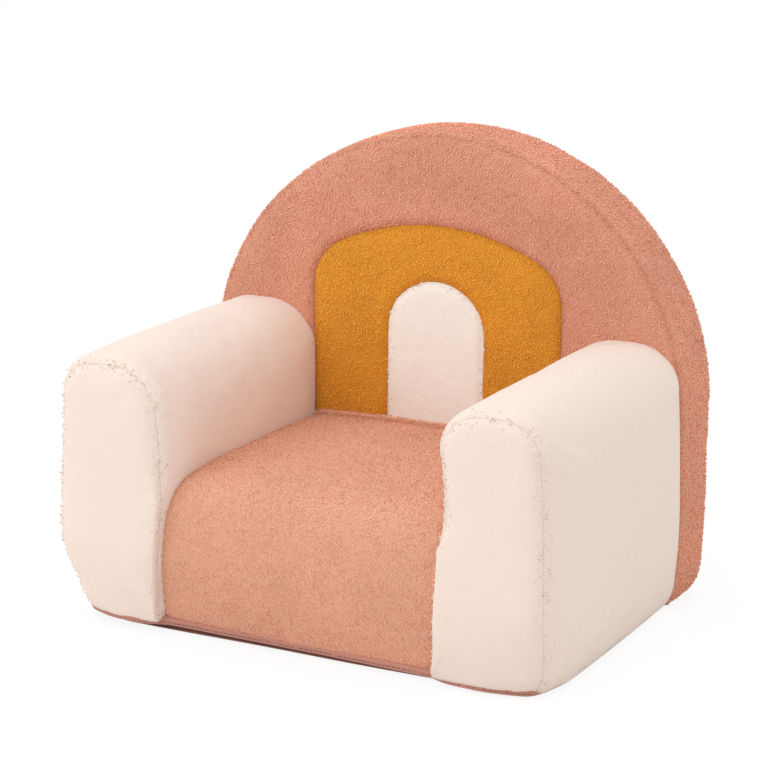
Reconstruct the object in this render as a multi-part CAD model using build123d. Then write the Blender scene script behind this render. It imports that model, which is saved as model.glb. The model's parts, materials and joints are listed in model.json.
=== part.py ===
from build123d import *
from math import hypot, sqrt
import os

os.makedirs("parts", exist_ok=True)

# A small child's armchair of foam blocks in a sewn, zipped cover.
# X runs across the chair, Y from its front to its rear, Z up from the floor.
# The origin is on the floor, under the middle of the chair. Lengths are in millimetres.

# Overall size
chair_width = 520.0
chair_depth = 400.0
chair_height = 462.0

# Backrest: an arch of half the chair's width on two straight legs
back_thickness = 86.0
back_front_edge_radius = 9.0
back_rear_edge_radius = 12.0
rim_bow = 2.5  # how far the band over the edge swells at its middle
leg_bow_radius = 3000.0

# Arms
arm_width = 118.0
arm_height = 275.0
arm_corner_radius = 50.0
arm_crown_radius = 150.0
arm_side_radius = 1200.0
arm_side_height = 130.0  # height at which the outer side stands out most
arm_front_slim = 4.0  # how much the arm is drawn in at its front end
arm_rear_slim = 2.5
arm_full_depth = 140.0  # distance behind the front at which the arm is fullest
arm_front_edge_radius = 22.0

# Seat
seat_height = 162.0
seat_edge_radius = 43.0
seat_setback = 8.0
seat_crown_radius = 3600.0
seat_crest_depth = 140.0
seat_front_radius = 700.0
seat_front_height = 70.0
seat_side_drop = 4.0  # how much lower the seat is beside the arms than in the middle

# Where the chair meets the floor
base_edge_radius = 28.0
front_base_radius = 22.0
binding_height = 9.0
base_side_margin = 36.0
base_front_margin = 32.0
base_rear_margin = 16.0
base_corner_radius = 30.0

# Cover
cloth = 4.0
arm_seam_depth = 7.0  # the seam round an arm's front end, behind the foremost point
back_seam_depth = 4.0  # the seams round the backrest's two faces

# Arches set into the backrest
outer_arch_half_width = 137.0
outer_arch_top = 366.0
outer_arch_shoulder_radius = 34.0
outer_arch_crown_radius = 200.0
inner_arch_half_width = 53.0
inner_arch_top = 308.0

# Zip low on the rear face
zip_height = 36.0
zip_side_margin = 68.0  # from the ends of the teeth to the chair's sides
zip_slot_width = 14.0
zip_slot_margin = 20.0  # slot beyond each end of the teeth
zip_slot_radius = 3.0
zip_hem = 8.0  # cloth turned in round the slot and sewn to the tapes
tape_width = 13.0
tape_thickness = 0.8
tape_split = 0.8  # gap between the two tapes
tape_end = 6.0  # tape beyond each end of the slot
tape_depth = 2.1  # how far the tapes' outer faces lie behind the cloth's inner face
tooth_pitch = 4.0
tooth_width = 1.7
tooth_thickness = 2.0
tooth_reach = 1.3  # past the middle line
bead_inner = 1.6
bead_outer = 3.0
stop_length = 3.0
stop_gap = 0.5  # from the slider at the end of its travel, and from the teeth
slider_length = 11.0
slider_wall = 1.0
slider_clearance = 0.3
bridge_length = 8.0
bridge_width = 2.0
bridge_bar = 0.8
bridge_window = 1.9
pull_length = 24.0
pull_width = 6.4
pull_waist = 4.6
pull_thickness = 1.2
pull_eye_length = 4.5
pull_eye_width = 2.8
pull_hole_radius = 1.1
pull_eye_radius = 0.7
pull_gap = 0.25  # between the pull and the slider's top

# Places worked out from the sizes
front = -chair_depth / 2
rear = chair_depth / 2
half_width = chair_width / 2
back_front = rear - back_thickness
arm_inner = half_width - arm_width
spring_height = chair_height - half_width
zip_length = chair_width - 2 * zip_side_margin
far = 2 * (chair_width + chair_depth + chair_height)  # larger than the chair, for cutting slabs


def circle_meet(first, first_radius, second, second_radius):
    """The upper right crossing of two circles, given by centre and radius."""
    gap = hypot(second[0] - first[0], second[1] - first[1])
    along = (first_radius**2 - second_radius**2 + gap**2) / (2 * gap)
    aside = sqrt(first_radius**2 - along**2)
    ux, uy = (second[0] - first[0]) / gap, (second[1] - first[1]) / gap
    foot = (first[0] + along * ux, first[1] + along * uy)
    both = [(foot[0] - aside * uy, foot[1] + aside * ux), (foot[0] + aside * uy, foot[1] - aside * ux)]
    return max(both, key=sum)


def on_circle(centre, point, radius):
    """The point of a circle that lies in the direction of another point."""
    reach = hypot(point[0] - centre[0], point[1] - centre[1])
    return (
        centre[0] + (point[0] - centre[0]) * radius / reach,
        centre[1] + (point[1] - centre[1]) * radius / reach,
    )


def arc(centre, radius, start, end):
    """An arc of under a half circle between two points of a circle."""
    middle = ((start[0] + end[0]) / 2, (start[1] + end[1]) / 2)
    return ThreePointArc(start, on_circle(centre, middle, radius), end)


def both_sides(half):
    """Edges of an outline that is the same on both sides, from the right half's lines and arcs.

    Each is (start, end) for a line, or (start, end, centre, radius) for an arc.
    """
    edges = []
    for start, end, *curve in half:
        for way in (1, -1):
            ends = [(way * start[0], start[1]), (way * end[0], end[1])]
            if curve:
                (centre_x, centre_z), radius = curve
                edges.append(arc((way * centre_x, centre_z), radius, *ends))
            else:
                edges.append(Line(*ends))
    return edges


def across(y):
    """A plane across the chair at that depth, with X to the right and Z up."""
    return Plane(origin=(0, y, 0), x_dir=(1, 0, 0), z_dir=(0, -1, 0))


def along(x):
    """A plane along the chair at that place, with Y to the right and Z up."""
    return Plane(origin=(x, 0, 0), x_dir=(0, 1, 0), z_dir=(1, 0, 0))


def block(low, high):
    """A box from its lowest to its highest corner."""
    size = [b - a for a, b in zip(low, high)]
    return Pos(*low) * Box(*size, align=(Align.MIN, Align.MIN, Align.MIN))


def slab(axis, low, high):
    """Everything between two values of X, Y or Z."""
    corner, other = [-far] * 3, [far] * 3
    corner[axis], other[axis] = low, high
    return block(corner, other)


def write(name, shape):
    """Writes one piece and says how large it is."""
    shape.label = name
    export_step(shape, f"parts/{name}.step")
    print(name, len(shape.solids()), "solids", round(shape.volume / 1000, 1), "cm3")


# Forms: each is drawn at the cover's outer face, or inset by the cover's thickness for the foam


def arm_section(y, slim, inset):
    """The right arm's outline across the chair: a bowed outer side under a round top."""
    side_centre = (half_width - slim - arm_side_radius, arm_side_height)
    crown_centre = (half_width - slim / 2 - arm_width / 2, arm_height - slim - arm_crown_radius)
    floor_reach = arm_side_radius - base_edge_radius
    floor_x = side_centre[0] + sqrt(floor_reach**2 - (base_edge_radius - arm_side_height) ** 2)
    floor_centre = (floor_x, base_edge_radius)
    top_reach = arm_crown_radius - arm_corner_radius
    outer_centre = circle_meet(side_centre, arm_side_radius - arm_corner_radius, crown_centre, top_reach)
    inner_x = arm_inner + arm_corner_radius
    inner_centre = (inner_x, crown_centre[1] + sqrt(top_reach**2 - (inner_x - crown_centre[0]) ** 2))
    foot_in = (arm_inner + inset, inset)
    foot_out = (floor_x, inset)
    side_low = on_circle(side_centre, floor_centre, arm_side_radius - inset)
    side_high = on_circle(side_centre, outer_centre, arm_side_radius - inset)
    crown_out = on_circle(crown_centre, outer_centre, arm_crown_radius - inset)
    crown_in = on_circle(crown_centre, inner_centre, arm_crown_radius - inset)
    inner_high = (arm_inner + inset, inner_centre[1])
    outline = [
        Line(foot_in, foot_out),
        arc(floor_centre, base_edge_radius - inset, foot_out, side_low),
        arc(side_centre, arm_side_radius - inset, side_low, side_high),
        arc(outer_centre, arm_corner_radius - inset, side_high, crown_out),
        arc(crown_centre, arm_crown_radius - inset, crown_out, crown_in),
        arc(inner_centre, arm_corner_radius - inset, crown_in, inner_high),
        Line(inner_high, foot_in),
    ]
    return across(y) * make_face(Wire(outline))


def arm_form(inset):
    """The right arm: fullest behind its front end, drawn in towards both ends."""
    sections = [
        arm_section(front + inset, arm_front_slim, inset),
        arm_section(front + arm_full_depth, 0.0, inset),
        arm_section(back_front + inset, arm_rear_slim, inset),
    ]
    body = loft(sections)
    face = body.faces().sort_by(Axis.Y)[0]
    return fillet(face.edges(), arm_front_edge_radius - inset)


def back_section(y, bow, inset):
    """The backrest's outline: two legs, each slightly bowed, under a round arch."""
    radius = half_width - bow - inset
    leg_centre = (half_width - bow - leg_bow_radius, spring_height)
    floor_reach = leg_bow_radius - base_edge_radius
    floor_x = leg_centre[0] + sqrt(floor_reach**2 - (base_edge_radius - spring_height) ** 2)
    floor_centre = (floor_x, base_edge_radius)
    foot = (floor_x, inset)
    leg_low = on_circle(leg_centre, floor_centre, leg_bow_radius - inset)
    leg_high = (radius, spring_height)
    top = (0.0, spring_height + radius)
    half = [
        ((0.0, inset), foot),
        (foot, leg_low, floor_centre, base_edge_radius - inset),
        (leg_low, leg_high, leg_centre, leg_bow_radius - inset),
        (leg_high, top, (0.0, spring_height), radius),
    ]
    return across(y) * make_face(Wire(both_sides(half)))


def back_form(inset, front_radius=back_front_edge_radius):
    """The backrest: flat front and rear faces with a slightly swollen rim between them."""
    sections = [
        back_section(back_front + inset, rim_bow, inset),
        back_section((back_front + rear) / 2, 0.0, inset),
        back_section(rear - inset, rim_bow, inset),
    ]
    body = loft(sections)
    body = fillet(body.faces().sort_by(Axis.Y)[-1].edges(), back_rear_edge_radius - inset)
    if front_radius <= inset:
        return body
    return fillet(body.faces().sort_by(Axis.Y)[0].edges(), front_radius - inset)


def seat_section(x, drop, inset, rear_end):
    """The seat's outline along the chair: bowed front, rolled front edge and crowned top."""
    front_y = front + seat_setback + drop / 2
    front_centre = (front_y + seat_front_radius, seat_front_height)
    top_centre = (front + seat_crest_depth, seat_height - drop - seat_crown_radius)
    floor_reach = seat_front_radius - front_base_radius
    floor_y = front_centre[0] - sqrt(floor_reach**2 - (front_base_radius - seat_front_height) ** 2)
    floor_centre = (floor_y, front_base_radius)
    mirrored_front = (-front_centre[0], front_centre[1])
    mirrored_top = (-top_centre[0], top_centre[1])
    meet = circle_meet(
        mirrored_front,
        seat_front_radius - seat_edge_radius,
        mirrored_top,
        seat_crown_radius - seat_edge_radius,
    )
    roll_centre = (-meet[0], meet[1])
    foot = (floor_y, inset)
    front_low = on_circle(front_centre, floor_centre, seat_front_radius - inset)
    front_high = on_circle(front_centre, roll_centre, seat_front_radius - inset)
    top_front = on_circle(top_centre, roll_centre, seat_crown_radius - inset)
    rear_height = top_centre[1] + sqrt((seat_crown_radius - inset) ** 2 - (rear_end - top_centre[0]) ** 2)
    top_rear = (rear_end, rear_height)
    outline = [
        arc(floor_centre, front_base_radius - inset, foot, front_low),
        arc(front_centre, seat_front_radius - inset, front_low, front_high),
        arc(roll_centre, seat_edge_radius - inset, front_high, top_front),
        arc(top_centre, seat_crown_radius - inset, top_front, top_rear),
        Line(top_rear, (rear_end, inset)),
        Line((rear_end, inset), foot),
    ]
    return along(x) * make_face(Wire(outline))


def seat_form(inset, rear_end):
    """The seat: a little lower and further back beside the arms than in the middle."""
    reach = arm_inner + arm_front_edge_radius
    sections = [seat_section(x, drop, inset, rear_end) for x, drop in
                [(-reach, seat_side_drop), (0.0, 0.0), (reach, seat_side_drop)]]
    return loft(sections)


def outer_arch_outline():
    """The mustard arch: straight sides, small shoulders and a long low curve over the top."""
    crown_centre = (0.0, outer_arch_top - outer_arch_crown_radius)
    shoulder_x = outer_arch_half_width - outer_arch_shoulder_radius
    reach = outer_arch_crown_radius - outer_arch_shoulder_radius
    shoulder_centre = (shoulder_x, crown_centre[1] + sqrt(reach**2 - shoulder_x**2))
    side_high = (outer_arch_half_width, shoulder_centre[1])
    crown_start = on_circle(crown_centre, shoulder_centre, outer_arch_crown_radius)
    half = [
        ((0.0, 0.0), (outer_arch_half_width, 0.0)),
        ((outer_arch_half_width, 0.0), side_high),
        (side_high, crown_start, shoulder_centre, outer_arch_shoulder_radius),
        (crown_start, (0.0, outer_arch_top), crown_centre, outer_arch_crown_radius),
    ]
    return across(back_front - cloth) * make_face(Wire(both_sides(half)))


def inner_arch_outline():
    """The small cream arch: a half circle on straight sides."""
    spring = inner_arch_top - inner_arch_half_width
    half = [
        ((0.0, 0.0), (inner_arch_half_width, 0.0)),
        ((inner_arch_half_width, 0.0), (inner_arch_half_width, spring)),
        ((inner_arch_half_width, spring), (0.0, inner_arch_top), (0.0, spring), inner_arch_half_width),
    ]
    return across(back_front - cloth) * make_face(Wire(both_sides(half)))


# Foam core
back_outer, back_foam = back_form(0.0), back_form(cloth)
arm_outer_right, arm_foam_right = arm_form(0.0), arm_form(cloth)
arm_outer_left = mirror(arm_outer_right, about=Plane.YZ)
arm_foam_left = mirror(arm_foam_right, about=Plane.YZ)
arms_outer = [arm_outer_left, arm_outer_right]
seat_outer = seat_form(0.0, back_front)
seat_inner = seat_form(cloth, back_front + cloth)
arm_noses = [arm & slab(1, -far, front + arm_front_edge_radius) for arm in arms_outer]
seat_foam = seat_inner & slab(0, -arm_inner - cloth, arm_inner + cloth)
for nose in arm_noses:
    seat_foam = seat_foam - nose

# Plain cloth under the chair, flat on the floor
base_size = (chair_width - 2 * base_side_margin, chair_depth - base_front_margin - base_rear_margin)
base_centre_y = (base_front_margin - base_rear_margin) / 2
base_outline = Pos(0, base_centre_y) * RectangleRounded(*base_size, base_corner_radius)
base_panel = extrude(base_outline, cloth)

# Skins of cloth over the foam, still uncut
arm_skins = {
    "left": arm_outer_left - arm_foam_left - seat_foam,
    "right": arm_outer_right - arm_foam_right - seat_foam,
}
seat_skin = seat_outer - seat_inner
for arm in arms_outer:
    seat_skin = seat_skin - arm
back_skin = back_outer - back_foam - seat_foam - arm_foam_left - arm_foam_right

# The smooth edge along the bottom is the base cloth turned up all round
below = slab(2, -far, binding_height)
above = slab(2, binding_height, far)
# It runs straight on under the groove between each arm and the backrest
back_foot = (back_form(0.0, 0.0) & below) - back_foam
base_binding = back_foot - seat_foam - arm_foam_left - arm_foam_right
for skin in [seat_skin, *arm_skins.values()]:
    base_binding = base_binding + (skin & below)
base_binding = base_binding - extrude(Pos(0, 0, -far) * base_outline, far + cloth)

# A shallow channel in the foam behind the zip
zip_panel_inner = rear - cloth
tape_outer = zip_panel_inner - tape_depth
tape_inner = tape_outer - tape_thickness
slot_length = zip_length + 2 * zip_slot_margin
hem_half_length, hem_half_width = slot_length / 2 + zip_hem, zip_slot_width / 2 + zip_hem
back_foam = back_foam - block(
    (-hem_half_length, tape_inner, zip_height - hem_half_width),
    (hem_half_length, far, zip_height + hem_half_width),
)

# Arm panels: a front end and a wrap over the sides and the top
arm_seam = front + arm_seam_depth
for side, skin in arm_skins.items():
    cover = skin & above
    write(f"arm_{side}_front", cover & slab(1, -far, arm_seam))
    write(f"arm_{side}_wrap", cover & slab(1, arm_seam, far))
write("seat_panel", seat_skin & above)

# Backrest panels, with two arches set into the front one
back_cover = back_skin & above
front_seam = back_front + back_seam_depth
rear_seam = rear - back_seam_depth
front_panel = back_cover & slab(1, -far, front_seam)
outer_arch = extrude(outer_arch_outline(), -3 * cloth)
inner_arch = extrude(inner_arch_outline(), -3 * cloth)
write("arch_inner", front_panel & inner_arch)
write("arch_outer", (front_panel & outer_arch) - inner_arch)
write("back_front_panel", front_panel - outer_arch)
write("back_rim_band", back_cover & slab(1, front_seam, rear_seam))

# Rear face, with a slot for the zip whose edge is turned in
slot_outline = RectangleRounded(slot_length, zip_slot_width, zip_slot_radius)
slot = extrude(across(far) * Pos(0, zip_height) * slot_outline, 2 * far)
rear_panel = back_cover & slab(1, rear_seam, far)
hem = block(
    (-hem_half_length, tape_outer, zip_height - hem_half_width),
    (hem_half_length, zip_panel_inner, zip_height + hem_half_width),
)
write("back_rear_panel", rear_panel + hem - slot)

write("arm_foam_left", arm_foam_left)
write("arm_foam_right", arm_foam_right)
write("seat_foam", seat_foam)
write("back_foam", back_foam)
write("base_panel", base_panel)
write("base_binding", base_binding)

# Zip tapes, one above and one below the teeth
tape_half_length = slot_length / 2 + tape_end
for name, way in (("zip_tape_upper", 1), ("zip_tape_lower", -1)):
    edge_near, edge_far = zip_height + way * tape_split / 2, zip_height + way * (tape_split / 2 + tape_width)
    low, high = min(edge_near, edge_far), max(edge_near, edge_far)
    write(name, block((-tape_half_length, tape_inner, low), (tape_half_length, tape_outer, high)))


def tooth_row(way, first):
    """One side of the closed zip: a bead with teeth that reach past the middle line."""
    teeth_face = tape_outer + tooth_thickness
    half = zip_length / 2
    points = [(-half, way * bead_outer), (-half, way * bead_inner)]
    x = -half + first
    while x + tooth_width <= half:
        points += [(x, way * bead_inner), (x, -way * tooth_reach)]
        points += [(x + tooth_width, -way * tooth_reach), (x + tooth_width, way * bead_inner)]
        x += tooth_pitch
    points += [(half, way * bead_inner), (half, way * bead_outer)]
    comb = make_face(Polyline(*points, close=True))
    return extrude(across(teeth_face) * Pos(0, zip_height) * comb, tooth_thickness)


tooth_start = (tooth_pitch / 2 - tooth_width) / 2
write("zip_teeth_upper", tooth_row(1, tooth_start))
write("zip_teeth_lower", tooth_row(-1, tooth_start + tooth_pitch / 2))

# Metal stops at both ends of the teeth
stop_start = zip_length / 2 + stop_gap
stop_half_width = bead_outer + slider_clearance
stop = block(
    (stop_start, tape_outer, zip_height - stop_half_width),
    (stop_start + stop_length, tape_outer + tooth_thickness, zip_height + stop_half_width),
)
write("zip_stops", Compound([stop, mirror(stop, about=Plane.YZ)]))

# Slider: a channel over the teeth, with a bridge for the pull
slider_x = zip_length / 2 - slider_length / 2 - stop_gap
slider_half = slider_length / 2
channel_half_width = bead_outer + slider_clearance
channel_top = tape_outer + tooth_thickness + slider_clearance
slider_top = channel_top + slider_wall
outer_half_width = channel_half_width + slider_wall
slider = block(
    (slider_x - slider_half, tape_outer + slider_clearance, zip_height - outer_half_width),
    (slider_x + slider_half, slider_top, zip_height + outer_half_width),
)
slider = fillet(slider.edges().filter_by(Axis.Y), slider_wall)
slider = slider - block(
    (-far, -far, zip_height - channel_half_width),
    (far, channel_top, zip_height + channel_half_width),
)
bridge_half = bridge_length / 2
bridge = block(
    (slider_x - bridge_half, slider_top, zip_height - bridge_width / 2),
    (slider_x + bridge_half, slider_top + bridge_window + bridge_bar, zip_height + bridge_width / 2),
)
bridge_ends = bridge.faces().sort_by(Axis.Y)[-1].edges().filter_by(Axis.Z)
bridge = fillet(bridge_ends, bridge_bar)
window_half = bridge_half - bridge_bar
bridge = bridge - block(
    (slider_x - window_half, slider_top, -far),
    (slider_x + window_half, slider_top + bridge_window, far),
)
write("zip_slider", slider + bridge)

# Pull: a flat tab that hangs by its eye on the bridge
pull_half = pull_thickness / 2
pivot_y = slider_top + pull_gap + pull_eye_radius
waist_start = pull_eye_length + pull_width / 2
tip_radius = pull_waist / 2
tip_x = pull_length - tip_radius
outline = [
    Line((0, pull_width / 2), (-pull_eye_length, pull_width / 2)),
    Line((-pull_eye_length, pull_width / 2), (-waist_start, tip_radius)),
    Line((-waist_start, tip_radius), (-tip_x, tip_radius)),
    ThreePointArc((-tip_x, tip_radius), (-pull_length, 0), (-tip_x, -tip_radius)),
    Line((-tip_x, -tip_radius), (-waist_start, -tip_radius)),
    Line((-waist_start, -tip_radius), (-pull_eye_length, -pull_width / 2)),
    Line((-pull_eye_length, -pull_width / 2), (0, -pull_width / 2)),
    Line((0, -pull_width / 2), (0, pull_width / 2)),
]
tab = make_face(Wire(outline)) - Pos(-tip_x) * Circle(pull_hole_radius)
tab = tab - Pos(-pull_eye_length / 2) * Rectangle(pull_eye_length, pull_eye_width)
pull = extrude(across(pivot_y + pull_half) * Pos(slider_x, zip_height) * tab, pull_thickness)
eye_bar = Pos(slider_x, pivot_y, zip_height) * Cylinder(pull_eye_radius, pull_width)
write("zip_pull", pull + eye_bar)
print("slider at", slider_x, "pivot depth", pivot_y, "travel", 2 * slider_x)
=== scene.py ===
# %% [markdown]
# # A small child's armchair in curly cloth
# The chair is four foam blocks in one sewn cover: a seat, an arched backrest and two arms.
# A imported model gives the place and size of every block, cloth panel and zip part.
# This lesson dresses it. It builds each cushion as a grid of squares whose lines run along the
# seams, blows it up a little with simulated cloth, cuts it into its panels, and grows a pile on
# them with Geometry Nodes. Lengths below are in millimetres until a mesh is made from them.

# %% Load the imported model
import json
import math

import bmesh
import bpy
import numpy as np
from mathutils import Matrix, Vector, kdtree

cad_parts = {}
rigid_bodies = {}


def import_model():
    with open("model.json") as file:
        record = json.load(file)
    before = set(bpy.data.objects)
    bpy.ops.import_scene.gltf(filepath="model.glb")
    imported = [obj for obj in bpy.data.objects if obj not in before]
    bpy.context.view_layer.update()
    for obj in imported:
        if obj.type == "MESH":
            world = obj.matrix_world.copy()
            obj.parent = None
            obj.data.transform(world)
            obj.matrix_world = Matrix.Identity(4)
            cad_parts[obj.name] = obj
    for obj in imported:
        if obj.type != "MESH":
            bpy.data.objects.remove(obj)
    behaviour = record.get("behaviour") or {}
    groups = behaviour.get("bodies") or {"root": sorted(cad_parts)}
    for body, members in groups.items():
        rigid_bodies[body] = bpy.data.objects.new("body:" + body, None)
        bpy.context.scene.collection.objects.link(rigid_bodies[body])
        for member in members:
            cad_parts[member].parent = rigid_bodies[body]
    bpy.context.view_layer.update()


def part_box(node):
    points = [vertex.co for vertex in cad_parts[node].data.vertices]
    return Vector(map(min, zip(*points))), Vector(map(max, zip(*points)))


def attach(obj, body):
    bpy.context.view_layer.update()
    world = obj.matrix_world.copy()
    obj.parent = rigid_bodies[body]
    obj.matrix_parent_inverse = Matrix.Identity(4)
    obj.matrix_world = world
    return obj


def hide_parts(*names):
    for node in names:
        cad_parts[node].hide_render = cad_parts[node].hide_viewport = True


for stray in list(bpy.data.objects):
    bpy.data.objects.remove(stray)
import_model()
mm = 0.001


# %% Helpers for objects and meshes
def placed(name, data):
    """A new object in the scene with this data."""
    made = bpy.data.objects.new(name, data)
    bpy.context.scene.collection.objects.link(made)
    return made


def finished(made, name):
    """A mesh from an edited one, which is freed."""
    mesh = bpy.data.meshes.new(name)
    made.to_mesh(mesh)
    made.free()
    return mesh


def baked(piece):
    """Gives a piece the mesh that its modifiers make, and takes the modifiers off."""
    mesh = bpy.data.meshes.new_from_object(piece.evaluated_get(bpy.context.evaluated_depsgraph_get()))
    piece.modifiers.clear()
    piece.vertex_groups.clear()
    piece.data = mesh
    return mesh


# %% [markdown]
# ## The sizes that the looks are built on
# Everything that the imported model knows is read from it, so a cushion always fits its block.
# What a box can't tell, such as a radius, is named here once.

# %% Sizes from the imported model
def low_of(node, axis):
    """The lowest place of a part along one axis, in millimetres."""
    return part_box(node)[0]["xyz".index(axis)] / mm


def high_of(node, axis):
    """The highest place of a part along one axis, in millimetres."""
    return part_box(node)[1]["xyz".index(axis)] / mm


cloth = 4.0
half_width = high_of("back_rim_band", "x")
chair_top = high_of("back_rim_band", "z")
spring = chair_top - half_width
back_front = low_of("back_front_panel", "y")
rear = high_of("back_rear_panel", "y")
front = low_of("arm_right_front", "y")
arm_top = high_of("arm_right_wrap", "z")
arm_inner = low_of("arm_foam_right", "x") - cloth
seat_top = high_of("seat_panel", "z")
seat_front = low_of("seat_panel", "y")
binding_top = high_of("base_binding", "z")
print("back", round(back_front), "to", round(rear), "arm from x", round(arm_inner),
      "seat at", round(seat_top))

# %% Radii and bows of the four blocks
back_edge, back_rear_edge = 9.0, 12.0
rim_bow, leg_bow = 2.5, 3000.0
arm_corner, arm_crown, arm_side, arm_side_height = 50.0, 150.0, 1200.0, 130.0
arm_edge, arm_slim_front, arm_slim_rear, arm_full = 22.0, 4.0, 2.5, 140.0
seat_roll, seat_crown, seat_crest, seat_bow, seat_bow_height = 43.0, 3600.0, 140.0, 700.0, 70.0
floor_radius, front_floor_radius = 28.0, 22.0
arm_seam_depth, back_seam_depth = 7.0, 4.0
step = 5.0  # size of a square in the cages

# %% [markdown]
# ## The camera
# The picture was taken from the chair's right-hand front corner, a little above the arms, with a
# long lens. These values come from fitting the outline of a simple chair to the photograph.

# %% Camera
azimuth, elevation, roll = math.radians(27.05), math.radians(14.37), math.radians(0.63)
distance, focal_pixels, picture_width = 2.67195, 2742.07, 768
aim = Vector((0.00616, -0.02, 0.23372))

back = Vector((math.sin(azimuth) * math.cos(elevation), -math.cos(azimuth) * math.cos(elevation),
               math.sin(elevation)))
level = Vector((math.cos(azimuth), math.sin(azimuth), 0.0))
upward = back.cross(level)
side = level * math.cos(roll) + upward * math.sin(roll)
upward = upward * math.cos(roll) - level * math.sin(roll)

camera = placed("camera", bpy.data.cameras.new("camera"))
camera.data.sensor_width = 36.0
camera.data.lens = focal_pixels / picture_width * camera.data.sensor_width
camera.data.clip_start, camera.data.clip_end = 0.05, 50.0
camera.matrix_world = Matrix.Translation(aim + back * distance) @ Matrix(
    (side, upward, back)).transposed().to_4x4()
bpy.context.scene.camera = camera
print("lens", round(camera.data.lens, 1), "mm")

# %% [markdown]
# ## Curves with even points
# A cage is made of curves with the same number of points, laid side by side. A curve here is a
# row of points with the direction that points out of the cushion at each.

# %% Curve helpers
def arc_curve(centre, radius, start, end):
    """Points about one step apart on an arc, from one angle to another in degrees, and their normals."""
    start, end = math.radians(start), math.radians(end)
    count = max(2, round(abs(end - start) * radius / step)) + 1
    angle = np.linspace(start, end, count)
    normal = np.stack([np.cos(angle), np.sin(angle)], 1)
    return np.array(centre) + radius * normal, normal


def straight_curve(start, end, normal):
    """Points about one step apart on a line, with one normal."""
    start, end = np.array(start, float), np.array(end, float)
    count = max(2, round(np.linalg.norm(end - start) / step)) + 1
    points = start + np.linspace(0, 1, count)[:, None] * (end - start)
    return points, np.repeat([normal], count, 0).astype(float)


def even(curves, count):
    """Joins curves into one with evenly spaced points."""
    points = np.concatenate([c[0] for c in curves])
    normals = np.concatenate([c[1] for c in curves])
    gaps = np.linalg.norm(np.diff(points, axis=0), axis=1)
    keep = np.concatenate([[True], gaps > 1e-6])
    points, normals = points[keep], normals[keep]
    run = np.concatenate([[0], np.cumsum(np.linalg.norm(np.diff(points, axis=0), axis=1))])
    at = np.linspace(0, run[-1], count)
    points = np.stack([np.interp(at, run, points[:, k]) for k in (0, 1)], 1)
    normals = np.stack([np.interp(at, run, normals[:, k]) for k in (0, 1)], 1)
    return points, normals / np.linalg.norm(normals, axis=1)[:, None]


def quarter(radius, depth_from, depth_to, count):
    """A rounded edge from a flat face to a side: (inset, depth) pairs between two depths."""
    turn = [math.acos(1 - d / radius) for d in (depth_from, depth_to)]
    angle = np.linspace(*turn, count + 1)
    return [(radius * (1 - math.sin(a)), radius * (1 - math.cos(a))) for a in angle]


def filled(curve, leg):
    """A grid of points inside an upside-down U: legs of that many squares, and a top between them."""
    left, top, right = curve[: leg + 1], curve[leg: len(curve) - leg], curve[::-1][: leg + 1]
    u = np.linspace(0, 1, len(top))[:, None, None]
    v = np.linspace(0, 1, leg + 1)[None, :, None]
    low_left, low_right = left[0], right[0]
    bottom = low_left + u * (low_right - low_left)
    across = (1 - u) * left[None] + u * right[None]
    along = (1 - v) * bottom + v * top[:, None]
    corners = (1 - v) * bottom + v * (top[0] + u * (top[-1] - top[0]))
    return across + along - corners


# %% [markdown]
# ## From curves to a cage
# A cushion is a list of grids. Each grid belongs to one cloth panel, and grids that share an edge
# are welded there. The panel's number rides along as the material number of its faces, so the
# finished cushion can be cut apart along its seams whatever happens to it in between.

# %% Cage helpers
def lofted(rows, panel):
    """A grid between rows of points, and the panel that it belongs to."""
    return np.array(rows), panel


def cage(name, grids):
    """Welds grids of points, in millimetres, into one mesh object."""
    made = bmesh.new()
    for points, panel in grids:
        rows, columns = points.shape[:2]
        verts = [[made.verts.new(p * mm) for p in row] for row in points]
        for i in range(rows - 1):
            for j in range(columns - 1):
                face = made.faces.new((verts[i][j], verts[i][j + 1], verts[i + 1][j + 1], verts[i + 1][j]))
                face.material_index = panel
                face.smooth = True
    bmesh.ops.remove_doubles(made, verts=made.verts, dist=0.05 * mm)
    bmesh.ops.dissolve_degenerate(made, edges=made.edges, dist=0.01 * mm)
    bmesh.ops.recalc_face_normals(made, faces=made.faces)
    middle = sum((v.co for v in made.verts), Vector()) / len(made.verts)
    if sum((f.calc_center_median() - middle).dot(f.normal) for f in made.faces) < 0:
        bmesh.ops.reverse_faces(made, faces=made.faces)
    piece = placed(name, finished(made, name))
    print(name, "cage with", len(piece.data.polygons), "faces")
    return piece


def read_points(mesh):
    """A mesh's points as an array, in metres."""
    points = np.empty(len(mesh.vertices) * 3)
    mesh.vertices.foreach_get("co", points)
    return points.reshape(-1, 3)


def read_normals(mesh):
    """The direction that points out of a mesh at each of its points."""
    normals = np.empty(len(mesh.vertices) * 3)
    mesh.vertices.foreach_get("normal", normals)
    return normals.reshape(-1, 3)


def write_points(mesh, points):
    """Puts an array of points back into a mesh."""
    mesh.vertices.foreach_set("co", np.ascontiguousarray(points, np.float32).ravel())
    mesh.update()


# %% [markdown]
# ## Air in the cushions
# The real cover is tight over foam: each panel stands out a few millimetres between its seams.
# Blender's cloth gives that for free. The seams are pinned, a light pressure blows the panels
# out, and a soft cap keeps each point within a few millimetres of where the block is.

# %% Inflate a cage
frames, pressure = 20, 4.0


def seam_edges(mesh):
    """The points where two panels meet, and the points on an open edge."""
    owners = {}
    for face in mesh.polygons:
        for key in face.edge_keys:
            owners.setdefault(key, []).append(face.material_index)
    seams, rims = set(), set()
    for key, panels in owners.items():
        if len(panels) == 1:
            rims.update(key)
        elif panels[0] != panels[1]:
            seams.update(key)
    return seams, rims


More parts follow.
